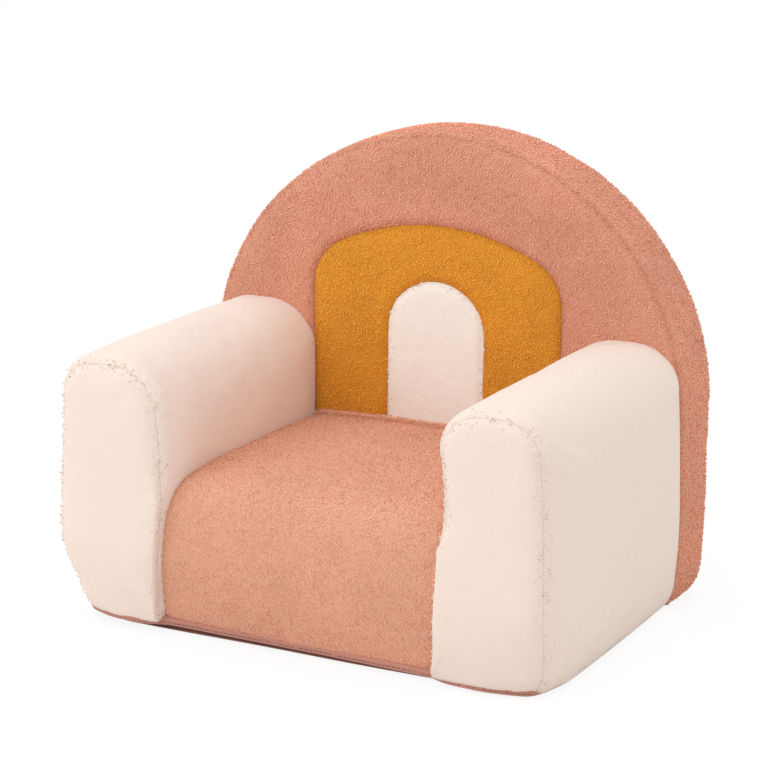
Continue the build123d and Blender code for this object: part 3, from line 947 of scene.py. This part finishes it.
# Painted shade: each foam cell is darker towards its hollow middle.
bubbles = add(tree, "ShaderNodeTexVoronoi", {"Vector": place, "Scale": 900.0})
pore_shade = remap(tree, bubbles.outputs["Distance"], 0.0, 0.5, 1.0, 0.0)
tint = add(tree, "ShaderNodeMix", {"Factor": pore_shade, 6: foam_colour, 7: pore_shade_colour}, data_type="RGBA")
tree.links.new(tint.outputs[2], shader.inputs["Base Color"])
bumped(tree, shader, bubbles.outputs["Distance"], 0.0006, 0.8)

# %% [markdown]
# ## Growing the pile
# A node tree takes a panel, gives it the low lumps that a stuffed cloth has, scatters points over
# it that keep their distance from each other, and puts a loop of yarn or a lock of brushed fibre
# on each. Each loop has its own turn, size and tone. The tree is one, and the panel decides by
# its inputs what grows on it. The brushed cloth lies so flat that its locks show only at seams.

# %% The pile tree
WHOLE, GEOMETRY, MATERIAL = "NodeSocketInt", "NodeSocketGeometry", "NodeSocketMaterial"


def pile_tree(name, straight):
    """A Geometry Nodes tree that grows loops of yarn, or tapered locks if straight is true."""
    tree, ends, out = group_tree(
        name, "GeometryNodeTree",
        [("Panel", GEOMETRY, None), ("Lump Size", FLOAT, 0.02), ("Lump Depth", FLOAT, 0.001),
         ("Grain Size", FLOAT, 0.006), ("Grain Depth", FLOAT, 0.0006),
         ("Spacing", FLOAT, 0.003), ("Loop Radius", FLOAT, 0.0014), ("Yarn Radius", FLOAT, 0.0006),
         ("Lean", FLOAT, 0.9), ("Ground Tone", FLOAT, 0.35), ("Flat Share", FLOAT, 1.0),
         ("Seam Fluff", FLOAT, 0.0), ("Seed", WHOLE, 1), ("Finish", MATERIAL, None)],
        [("Panel", GEOMETRY)],
    )
    get = ends.outputs
    lining = add(tree, "GeometryNodeInputNamedAttribute", {"Name": "lining"}).outputs["Attribute"]
    open_side = maths(tree, "SUBTRACT", 1.0, lining, clamp=True)
    seam = add(tree, "GeometryNodeInputNamedAttribute", {"Name": "seam"}).outputs["Attribute"]
    grown = maths(tree, "MULTIPLY", open_side, maths(tree, "MAXIMUM", get["Flat Share"], seam))
    place = add(tree, "GeometryNodeInputPosition").outputs[0]
    normal = add(tree, "GeometryNodeInputNormal").outputs[0]
    rise = None
    for size, depth, detail in (("Lump Size", "Lump Depth", 1.0), ("Grain Size", "Grain Depth", 2.0)):
        scale = maths(tree, "DIVIDE", 1.0, get[size])
        noise = add(tree, "ShaderNodeTexNoise", {"Vector": place, "Scale": scale, "Detail": detail})
        part = maths(tree, "MULTIPLY", maths(tree, "SUBTRACT", noise.outputs["Fac"], 0.5), get[depth])
        rise = part if rise is None else maths(tree, "ADD", rise, part)
    rise = maths(tree, "MULTIPLY", maths(tree, "MULTIPLY", rise, 2.0), open_side)
    offset = add(tree, "ShaderNodeVectorMath", {0: normal, "Scale": rise}, operation="SCALE").outputs[0]
    ground = add(tree, "GeometryNodeSetPosition", {"Geometry": get["Panel"], "Offset": offset}).outputs[0]
    # Painted shade: the ground between the loops gets a low tone, which the finish turns into a darker
    # colour.
    ground = add(tree, "GeometryNodeStoreNamedAttribute",
                 {"Geometry": ground, "Name": "tone", "Value": get["Ground Tone"]},
                 data_type="FLOAT", domain="POINT").outputs[0]
    ground = add(tree, "GeometryNodeSetShadeSmooth", {0: ground}).outputs[0]
    points = add(tree, "GeometryNodeDistributePointsOnFaces",
                 {"Mesh": ground, "Distance Min": get["Spacing"], "Density Max": 400000.0,
                  "Density Factor": grown, "Seed": get["Seed"]}, distribute_method="POISSON")
    if straight:
        spine = add(tree, "GeometryNodeCurveQuadraticBezier",
                    {"Resolution": 3, "Start": (0, 0, -0.0006)}).outputs[0]
        bezier = spine.node
        tip = vector(tree, x=get["Loop Radius"], z=get["Loop Radius"])
        tree.links.new(tip, bezier.inputs["End"])
        tree.links.new(vector(tree, z=get["Loop Radius"]), bezier.inputs["Middle"])
        along = add(tree, "GeometryNodeSplineParameter").outputs["Factor"]
        taper = remap(tree, along, 0.0, 1.0, 1.0, 0.25)
        spine = add(tree, "GeometryNodeSetCurveRadius", {"Curve": spine, "Radius": taper}).outputs[0]
    else:
        spine = add(tree, "GeometryNodeCurveArc", {"Resolution": 4, "Radius": get["Loop Radius"],
                                                   "Start Angle": math.radians(-15),
                                                   "Sweep Angle": math.radians(210)}).outputs["Curve"]
        upright = (math.pi / 2, 0, 0)
        spine = add(tree, "GeometryNodeTransform", {"Geometry": spine, "Rotation": upright}).outputs[0]
    section = add(tree, "GeometryNodeCurvePrimitiveCircle",
                  {"Resolution": 3, "Radius": get["Yarn Radius"]}).outputs[0]
    yarn = add(tree, "GeometryNodeCurveToMesh", {"Curve": spine, "Profile Curve": section}).outputs[0]
    yarn = add(tree, "GeometryNodeSetShadeSmooth", {0: yarn, "Shade Smooth": False}).outputs[0]
    lean = get["Lean"]
    other_way = maths(tree, "MULTIPLY", lean, -1.0)
    low = vector(tree, x=other_way, y=other_way)
    high = vector(tree, x=lean, y=lean, z=2 * math.pi)
    turn = add(tree, "FunctionNodeRandomValue", {0: low, 1: high, "Seed": 3}, data_type="FLOAT_VECTOR")
    turn = add(tree, "FunctionNodeEulerToRotation", {0: turn.outputs[0]}).outputs[0]
    turn = add(tree, "FunctionNodeRotateRotation",
               {"Rotation": points.outputs["Rotation"], "Rotate By": turn}, rotation_space="LOCAL").outputs[0]
    fluff = maths(tree, "ADD", 1.0, maths(tree, "MULTIPLY", seam, get["Seam Fluff"]))
    size = maths(tree, "MULTIPLY", chance_between(tree, 0.75, 1.3, 5), fluff)
    loops = add(tree, "GeometryNodeInstanceOnPoints", {"Points": points.outputs["Points"], "Instance": yarn,
                                                       "Rotation": turn, "Scale": size}).outputs[0]
    loops = add(tree, "GeometryNodeStoreNamedAttribute",
                {"Geometry": loops, "Name": "tone", "Value": chance_between(tree, 0.3, 1.0, 7)},
                data_type="FLOAT", domain="INSTANCE").outputs[0]
    whole = add(tree, "GeometryNodeJoinGeometry")
    tree.links.new(loops, whole.inputs[0])
    tree.links.new(ground, whole.inputs[0])
    real = add(tree, "GeometryNodeRealizeInstances", {0: whole.outputs[0]}).outputs[0]
    done = add(tree, "GeometryNodeSetMaterial", {"Geometry": real, "Material": get["Finish"]}).outputs[0]
    tree.links.new(done, out.inputs["Panel"])
    return tree


curly_tree, brushed_tree = pile_tree("curly_pile", False), pile_tree("brushed_pile", True)
shell_thickness = 1.6


def triangles(piece):
    """How many triangles a piece has."""
    return sum(len(face.vertices) - 2 for face in piece.data.polygons)


def with_nodes(piece, tree, values):
    """Puts a Geometry Nodes tree on a piece and sets its inputs by name, with _ for a space."""
    nodes = piece.modifiers.new(tree.name, "NODES")
    nodes.node_group = tree
    for item in tree.interface.items_tree:
        key = item.name.replace(" ", "_")
        if item.in_out == "INPUT" and key in values:
            nodes[item.identifier] = values[key]


def grow(piece, tree, **values):
    """Gives a panel its thickness and its pile, and turns the result into a plain mesh."""
    if "lining" not in piece.vertex_groups:
        piece.vertex_groups.new(name="lining")
    shell = piece.modifiers.new("shell", "SOLIDIFY")
    shell.thickness, shell.offset = shell_thickness * mm, -1
    shell.shell_vertex_group = shell.rim_vertex_group = "lining"
    with_nodes(piece, tree, values)
    piece.data.update()
    mesh = baked(piece)
    write_points(mesh, settled(hemmed(read_points(mesh))))
    print(piece.name, "has", triangles(piece), "triangles")

# %% [markdown]
# ## The panels
# Each panel is cut from its cushion, loses what its neighbours hide, and gets its pile.

# %% Panel helpers
def stand_for(piece, nodes):
    """Rides a finished piece on the chair and hides the imported parts that it stands for."""
    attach(piece, "root")
    if nodes:
        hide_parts(*nodes)


def mirrored(piece, name):
    """A copy of a panel for the other side of the chair."""
    twin = placed(name, piece.data.copy())
    points = read_points(twin.data)
    points[:, 0] *= -1
    write_points(twin.data, points)
    twin.data.flip_normals()
    return twin


def behind_arm_or_seat(p):
    """True where an arm or the seat hides the backrest's front."""
    behind_arm = abs(p[0]) > arm_inner + 14 and p[2] < arm_top - 28
    return p[1] < back_front + 2 and (p[2] < seat_top - 12 or behind_arm)


def beside_seat(p):
    """True where the seat hides an arm's inner side."""
    return p[0] < arm_inner + 4 and p[2] < seat_top - 14 and p[1] > seat_front + 40


# %% [markdown]
# The rear panel has a long slot for the zip. The grid is cut along the slot's four sides, the
# faces inside go, and the new edge is drawn inwards to the tapes, as a hem is. The hem counts as
# lining, so that no loops grow into the teeth.

# %% Slot for the zip
hem_depth, slot_play = 3.4, 4.5
slot_half = high_of("zip_tape_upper", "x") - 6.0 - slot_play
slot_middle = (low_of("zip_tape_lower", "z") + high_of("zip_tape_upper", "z")) / 2
slot_rise = 7.0


def in_slot(p, spare):
    """True for a point of the rear panel inside the slot, in millimetres."""
    return abs(p[0]) < slot_half + spare and abs(p[2] - slot_middle) < slot_rise + spare


def cut_slot(panel):
    """Cuts the slot into the rear panel and turns its edge in."""
    made = bmesh.new()
    made.from_mesh(panel.data)
    sides = [((x, 0, 0), (1, 0, 0)) for x in (slot_half, -slot_half)]
    sides += [((0, 0, slot_middle + rise), (0, 0, 1)) for rise in (slot_rise, -slot_rise)]
    for place, normal in sides:
        bmesh.ops.bisect_plane(made, geom=made.verts[:] + made.edges[:] + made.faces[:], dist=1e-6,
                               plane_co=Vector(place) * mm, plane_no=normal)
    gone = [f for f in made.faces if in_slot(f.calc_center_median() / mm, 0)]
    bmesh.ops.delete(made, geom=gone, context="FACES")
    rim = [e for e in made.edges if e.is_boundary and all(in_slot(v.co / mm, 0.5) for v in e.verts)]
    turned = bmesh.ops.extrude_edge_only(made, edges=rim)["geom"]
    hem = [v for v in turned if isinstance(v, bmesh.types.BMVert)]
    for v in hem:
        v.co.y -= hem_depth * mm
    bmesh.ops.recalc_face_normals(made, faces=made.faces)
    if sum(f.normal.y * f.calc_area() for f in made.faces) < 0:
        bmesh.ops.reverse_faces(made, faces=made.faces)
    made.verts.index_update()
    inner = [v.index for v in hem]
    made.to_mesh(panel.data)
    made.free()
    panel.vertex_groups.new(name="lining").add(inner, 1.0, "REPLACE")
    print("slot", round(2 * slot_half), "mm long with", len(inner), "points in its hem")


# %% Cut and grow the panels
curly = dict(Lump_Size=0.045, Lump_Depth=0.0011, Grain_Size=0.0065, Grain_Depth=0.0005, Spacing=0.0024,
             Loop_Radius=0.0010, Yarn_Radius=0.00060, Lean=0.65, Ground_Tone=-0.5)
sat_on = dict(curly, Grain_Depth=0.0004, Spacing=0.0025, Loop_Radius=0.0008, Lean=0.95, Ground_Tone=-0.3)
unseen = dict(curly, Spacing=0.0031, Loop_Radius=0.0012, Yarn_Radius=0.0008)
brushed = dict(Lump_Size=0.05, Lump_Depth=0.0011, Grain_Size=0.0075, Grain_Depth=0.0004, Spacing=0.0030,
               Loop_Radius=0.0010, Yarn_Radius=0.00045, Lean=1.2, Flat_Share=0.0, Seam_Fluff=0.6)

arm_front = cut_out(arm_cushion, "arm_right_front", ARM_FRONT)
arm_wrap = cut_out(arm_cushion, "arm_right_wrap", ARM_WRAP, beside_seat)
rear_panel = cut_out(back_cushion, "back_rear_panel", BACK_REAR)
cut_slot(rear_panel)
cream_panel = (brushed_tree, cream, "cream_pile", brushed)
pink_panel = (curly_tree, pink, "pink_curly", curly)
growing = {
    "arm_right_front": (arm_front, *cream_panel),
    "arm_right_wrap": (arm_wrap, *cream_panel),
    "arm_left_front": (mirrored(arm_front, "arm_left_front_cloth"), *cream_panel),
    "arm_left_wrap": (mirrored(arm_wrap, "arm_left_wrap_cloth"), *cream_panel),
    "seat_panel": (cut_out(seat_cushion, "seat_panel", 0), curly_tree, pink_seat_painted_light, "pink_curly", sat_on),
    "back_front_panel": (cut_out(back_cushion, "back_front_panel", BACK_FRONT, behind_arm_or_seat),
                         *pink_panel),
    "arch_outer": (cut_out(back_cushion, "arch_outer", ARCH_OUTER),
                   curly_tree, mustard, "mustard_curly", curly),
    "arch_inner": (cut_out(back_cushion, "arch_inner", ARCH_INNER),
                   brushed_tree, cream_inset_painted_light, "cream_pile", brushed),
    "back_rim_band": (cut_out(back_cushion, "back_rim_band", RIM), *pink_panel),
    "back_rear_panel": (rear_panel, curly_tree, pink, "pink_curly", unseen),
}
for seed, (node, (piece, tree, finish, slot, growth)) in enumerate(growing.items()):
    grow(piece, tree, **growth, Finish=finish, Seed=seed)
    stand_for(piece, [node])
for cushion in (back_cushion, arm_cushion, seat_cushion):
    bpy.data.objects.remove(cushion)

# %% [markdown]
# ## The smooth edge along the floor
# The plain cloth under the chair is turned up all round and sewn to the pile cloth, which shows
# as a smooth rose band, a finger's width high, rolled over at its top and again at the floor. It
# is one closed strip: a small section with two rolls, carried along a path round the chair. The
# path's few points are the corners of the floor plan, rounded by a curve through them.

# %% Path round the chair
path_step = 3.0
plan_half = [
    (0, seat_front + 6.2), (60, seat_front + 5.6), (118, seat_front + 5.2), (140, seat_front + 4.2),
    (162, front + 5.5), (190, front + 4.6), (220, front + 5.0), (236, front + 9.5), (242.2, front + 26),
    (243.0, front + 120), (243.0, 60), (243.0, rear - 22), (240.4, rear - 8), (230, rear - 2.6),
    (120, rear - 1.6),
]


def round_path(corners, spacing):
    """A closed smooth curve through corners, with evenly spaced points."""
    points = np.array(corners, float)
    previous, following = np.roll(points, 1, 0), np.roll(points, -1, 0)
    gaps = np.linalg.norm(following - points, axis=1)
    reach = np.minimum(gaps, np.roll(gaps, 1))[:, None] / 3
    tangent = following - previous
    tangent /= np.linalg.norm(tangent, axis=1)[:, None]
    leave, arrive = points + tangent * reach, np.roll(points - tangent * reach, -1, 0)
    t = np.linspace(0, 1, 24, endpoint=False)[None, :, None]
    a, b, c, d = (p[:, None] for p in (points, leave, arrive, following))
    fine = ((1 - t) ** 3 * a + 3 * t * (1 - t) ** 2 * b + 3 * t**2 * (1 - t) * c + t**3 * d).reshape(-1, 2)
    fine = np.concatenate([fine, fine[:1]])
    run = np.concatenate([[0], np.cumsum(np.linalg.norm(np.diff(fine, axis=0), axis=1))])
    at = np.linspace(0, run[-1], round(run[-1] / spacing), endpoint=False)
    return np.stack([np.interp(at, run, fine[:, k]) for k in (0, 1)], 1), run[-1]


plan = plan_half + [(0, rear - 1.6)] + [(-x, y) for x, y in plan_half[:0:-1]]
path, path_length = round_path(plan, path_step)
ahead = np.roll(path, -1, 0) - np.roll(path, 1, 0)
ahead /= np.linalg.norm(ahead, axis=1)[:, None]
outward = np.stack([ahead[:, 1], -ahead[:, 0]], 1)
run = np.arange(len(path)) * path_step
waves = [(37.0, 0.9), (83.0, 2.1), (151.0, 4.0)]  # lengths and starts of the ripples that a sewn strip has
ripple = sum(np.sin(run * 2 * math.pi / length + start) for length, start in waves) / len(waves)
print("path round the chair", round(path_length), "mm")

# %% The strip
strip_section = [
    (-8.0, 12.0), (-2.4, 10.6), (0.2, 9.2), (0.9, 7.8), (0.8, 6.4), (0.0, 5.3), (-0.8, 4.8),
    (-0.7, 4.3), (-0.4, 3.4), (-1.2, 2.2), (-3.4, 1.1), (-7.0, 0.4), (-11.0, 0.5), (-10.6, 6.0),
]
ripple_out, ripple_up = 0.45, 0.5


def strip_points(out, rise):
    """A line along the strip, this far out of the path and above the floor, with its ripples."""
    share = min(1.0, rise / 6)
    xy = path + outward * (out + ripple_out * share * ripple)[:, None]
    z = rise + ripple_up * share * np.roll(ripple, 9)
    return settled(np.column_stack([xy, z]) * mm)


def closed_band(made, line, following):
    """A closed band of squares between two rows of points."""
    for i in range(len(line)):
        j = (i + 1) % len(line)
        made.faces.new((line[i], line[j], following[j], following[i])).smooth = True


made = bmesh.new()
lines = [[made.verts.new(p) for p in strip_points(out, rise)] for out, rise in strip_section]
for line, following in zip(lines, lines[1:] + lines[:1]):
    closed_band(made, line, following)
bmesh.ops.recalc_face_normals(made, faces=made.faces)
strip = placed("base_binding_cloth", finished(made, "base_binding_cloth"))
strip.data.materials.append(strip_cloth)
stand_for(strip, ["base_binding"])
print("strip has", triangles(strip), "triangles")

# %% [markdown]
# ## Stitches
# A row of thread holds the strip. A tree walks along a line, drops a short stitch at every step,
# turns it along the line and leaves a few out where the thread has sunk into the pile.

# %% The stitch tree
sewing, ends, out = group_tree(
    "stitch_row", "GeometryNodeTree",
    [("Line", GEOMETRY, None), ("Pitch", FLOAT, 0.0052), ("Stitch Length", FLOAT, 0.0036),
     ("Thread Radius", FLOAT, 0.00045), ("Kept", FLOAT, 0.9), ("Seed", WHOLE, 3), ("Finish", MATERIAL, None)],
    [("Stitches", GEOMETRY)],
)
get = ends.outputs
curve = add(sewing, "GeometryNodeMeshToCurve", {"Mesh": get["Line"]}).outputs[0]
steps = add(sewing, "GeometryNodeCurveToPoints", {"Curve": curve, "Length": get["Pitch"]}, mode="LENGTH")
ball = add(sewing, "GeometryNodeMeshUVSphere", {"Segments": 6, "Rings": 5, "Radius": 1.0}).outputs["Mesh"]
half_length = maths(sewing, "MULTIPLY", get["Stitch Length"], 0.5)
shape = vector(sewing, get["Thread Radius"], get["Thread Radius"], half_length)
chance = chance_between(sewing, 0.0, 1.0, get["Seed"])
keep = add(sewing, "FunctionNodeCompare", {0: chance, 1: get["Kept"]}, data_type="FLOAT",
           operation="LESS_THAN").outputs[0]
row = add(sewing, "GeometryNodeInstanceOnPoints",
          {"Points": steps.outputs["Points"], "Selection": keep, "Instance": ball,
           "Rotation": steps.outputs["Rotation"], "Scale": shape}).outputs[0]
real = add(sewing, "GeometryNodeRealizeInstances", {0: row}).outputs[0]
real = add(sewing, "GeometryNodeSetShadeSmooth", {0: real}).outputs[0]
done = add(sewing, "GeometryNodeSetMaterial", {"Geometry": real, "Material": get["Finish"]}).outputs[0]
sewing.links.new(done, out.inputs["Stitches"])


def stitched(name, line, **values):
    """A closed row of stitches along points in metres."""
    mesh = bpy.data.meshes.new(name)
    count = len(line)
    mesh.from_pydata([tuple(p) for p in line], [(i, (i + 1) % count) for i in range(count)], [])
    piece = placed(name, mesh)
    with_nodes(piece, sewing, values)
    mesh.update()
    baked(piece)
    print(name, "has", triangles(piece), "triangles")
    return piece


# %% Sew
strip_line = (-0.55, 4.7)  # where the stitches lie on the strip's section
strip_thread = stitched("strip_stitches", strip_points(*strip_line), Finish=thread)
stand_for(strip_thread, [])
hem_width = 5.0
across_points = np.linspace(-slot_half - hem_width, slot_half + hem_width, 120)
upper, lower = slot_middle + slot_rise + hem_width, slot_middle - slot_rise - hem_width
hem_line = [(x, lower) for x in across_points] + [(x, upper) for x in across_points[::-1]]
hem_line = settled(np.array([(x, rear + 0.6, z) for x, z in hem_line]) * mm)
hem_thread = stitched("zip_hem_stitches", hem_line, Finish=thread, Kept=0.97, Thread_Radius=0.0006)
stand_for(hem_thread, [])

# %% [markdown]
# ## The cloth under the chair
# The base is a plain woven cloth that lies flat on the floor with rounded corners. It is a ring of
# points round its outline, drawn in towards the middle in steps, with a very low ripple.

# %% Base cloth
base_low, base_high = (np.array(corner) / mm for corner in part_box("base_panel"))
base_corner, rings = 30.0, 20
base_rise, base_ripple = 2.0, 0.25  # how high the cloth lies, and how much it ripples
base_half = (base_high[:2] - base_low[:2]) / 2
base_middle = (base_high[:2] + base_low[:2]) / 2
outline = []
for turn, (sx, sy) in zip((0, 90, 180, 270), ((1, 1), (-1, 1), (-1, -1), (1, -1))):
    centre = base_middle + (base_half - base_corner) * (sx, sy)
    angle = np.radians(np.linspace(turn, turn + 90, 12))
    outline.append(centre + base_corner * np.column_stack([np.cos(angle), np.sin(angle)]))
outline, _ = round_path(np.concatenate(outline), 8.0)
made = bmesh.new()
lines = []
for share in np.linspace(1, 1 / rings, rings):
    ring = base_middle + (outline - base_middle) * share
    lift = base_rise + base_ripple * np.sin(ring[:, 0] / 31) * np.sin(ring[:, 1] / 23)
    lines.append([made.verts.new(p * mm) for p in np.column_stack([ring, lift])])
for line, following in zip(lines, lines[1:]):
    closed_band(made, line, following)
hub = made.verts.new(Vector((*base_middle, base_rise)) * mm)
for i in range(len(outline)):
    made.faces.new((lines[-1][i], lines[-1][(i + 1) % len(outline)], hub)).smooth = True
bmesh.ops.recalc_face_normals(made, faces=made.faces)
if sum(f.normal.z for f in made.faces) < 0:
    bmesh.ops.reverse_faces(made, faces=made.faces)
base = placed("base_panel_cloth", finished(made, "base_panel_cloth"))
base.data.materials.append(base_weave)
thick = base.modifiers.new("thick", "SOLIDIFY")
thick.thickness, thick.offset = 1.2 * mm, -1
baked(base)
stand_for(base, ["base_panel"])
print("base cloth", (2 * base_half).round(), "mm,", triangles(base), "triangles")

# %% [markdown]
# ## The foam
# Nobody sees the blocks while the cover is on, but they fill it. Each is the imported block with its
# loose triangles merged, remeshed into even squares and drawn in a little, so that it stays under
# the seams.

# %% Foam blocks
foam_square, foam_draw = 8.0, 2.0  # the size of the even squares, and how far a block is drawn in
for node in ("seat_foam", "back_foam", "arm_foam_left", "arm_foam_right"):
    block = placed(node + "_block", bpy.data.objects[node].data.copy())
    made = bmesh.new()
    made.from_mesh(block.data)
    bmesh.ops.remove_doubles(made, verts=made.verts, dist=0.01 * mm)
    made.to_mesh(block.data)
    made.free()
    even_grid = block.modifiers.new("even", "REMESH")
    even_grid.mode, even_grid.voxel_size = "VOXEL", foam_square * mm
    baked(block)
    drawn_in = read_points(block.data) - read_normals(block.data) * foam_draw * mm
    write_points(block.data, settled(drawn_in))
    block.data.materials.clear()
    block.data.materials.append(foam_cells)
    for face in block.data.polygons:
        face.use_smooth = True
    stand_for(block, [node])
    print(block.name, "has", triangles(block), "triangles")

# %% [markdown]
# ## The zip
# Its tapes, teeth, stops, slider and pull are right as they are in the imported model, because they
# have to move. They only get finishes: woven tape, satin plastic and painted metal.

# %% Zip finishes
zip_finishes = [
    (tape_weave, ("zip_tape_upper", "zip_tape_lower")),
    (teeth_plastic, ("zip_teeth_upper", "zip_teeth_lower")),
    (zip_paint, ("zip_stops", "zip_slider", "zip_pull")),
]
for finish, nodes in zip_finishes:
    for node in nodes:
        for material_slot in bpy.data.objects[node].material_slots:
            material_slot.material = finish
    print(finish.name, "on", ", ".join(nodes))

# %% Room and light
world = bpy.data.worlds.new("studio")
bpy.context.scene.world = world
world.use_nodes = True
daylight = world.node_tree.nodes["Background"]
daylight.inputs["Color"].default_value = (1.0, 0.97, 0.95, 1)
daylight.inputs["Strength"].default_value = 0.85
lamp_aim = Vector((0, 0, 0.2))


def softbox(name, place, size, power):
    """A square soft light that faces the chair."""
    lamp = bpy.data.lights.new(name, "AREA")
    lamp.shape = "SQUARE"
    lamp.size = size
    lamp.energy = power
    light = placed(name, lamp)
    light.location = place
    light.rotation_euler = (lamp_aim - Vector(place)).to_track_quat("-Z", "Y").to_euler()


def seen_directly(tree):
    """1 where the camera sees a surface itself, in a reflection or through glass, and 0 elsewhere."""
    path = add(tree, "ShaderNodeLightPath")
    other = maths(tree, "MAXIMUM", path.outputs["Is Glossy Ray"], path.outputs["Is Transmission Ray"])
    return maths(tree, "MAXIMUM", path.outputs["Is Camera Ray"], other)


softbox("key", (-1.6, -2.2, 1.8), 2.2, 22)
softbox("overhead", (0.2, 0.0, 2.6), 2.2, 12)

# %% Floor and background
floor_reach, floor_glow_share = 8.0, 0.84  # half its side in metres, and its share of plain white
floor_mesh = bpy.data.meshes.new("floor")
corners = [(-1, -1), (1, -1), (1, 1), (-1, 1)]
floor_mesh.from_pydata([(x * floor_reach, y * floor_reach, 0) for x, y in corners], [], [(0, 1, 2, 3)])
placed("floor", floor_mesh)
floor_paint = bpy.data.materials.new("floor")
floor_paint.use_nodes = True
tree = floor_paint.node_tree
paint = add(tree, "ShaderNodeBsdfDiffuse", {"Color": (0.86, 0.85, 0.84, 1)})
glow = add(tree, "ShaderNodeEmission", {"Color": (1, 1, 1, 1), "Strength": 1.05})
glow_share = maths(tree, "MULTIPLY", seen_directly(tree), floor_glow_share)
both = add(tree, "ShaderNodeMixShader", {0: glow_share, 1: paint.outputs[0], 2: glow.outputs[0]})
tree.links.new(both.outputs[0], tree.nodes["Material Output"].inputs["Surface"])
floor_mesh.materials.append(floor_paint)

tree = world.node_tree
white = add(tree, "ShaderNodeBackground", {"Color": (1, 1, 1, 1), "Strength": 1.0})
sky = add(tree, "ShaderNodeMixShader", {0: seen_directly(tree), 1: daylight.outputs[0], 2: white.outputs[0]})
tree.links.new(sky.outputs[0], tree.nodes["World Output"].inputs["Surface"])
print("lamps", len(bpy.data.lights), "and a floor", 2 * floor_reach, "m wide")

# %% Colour transform
bpy.context.scene.view_settings.view_transform = "Standard"
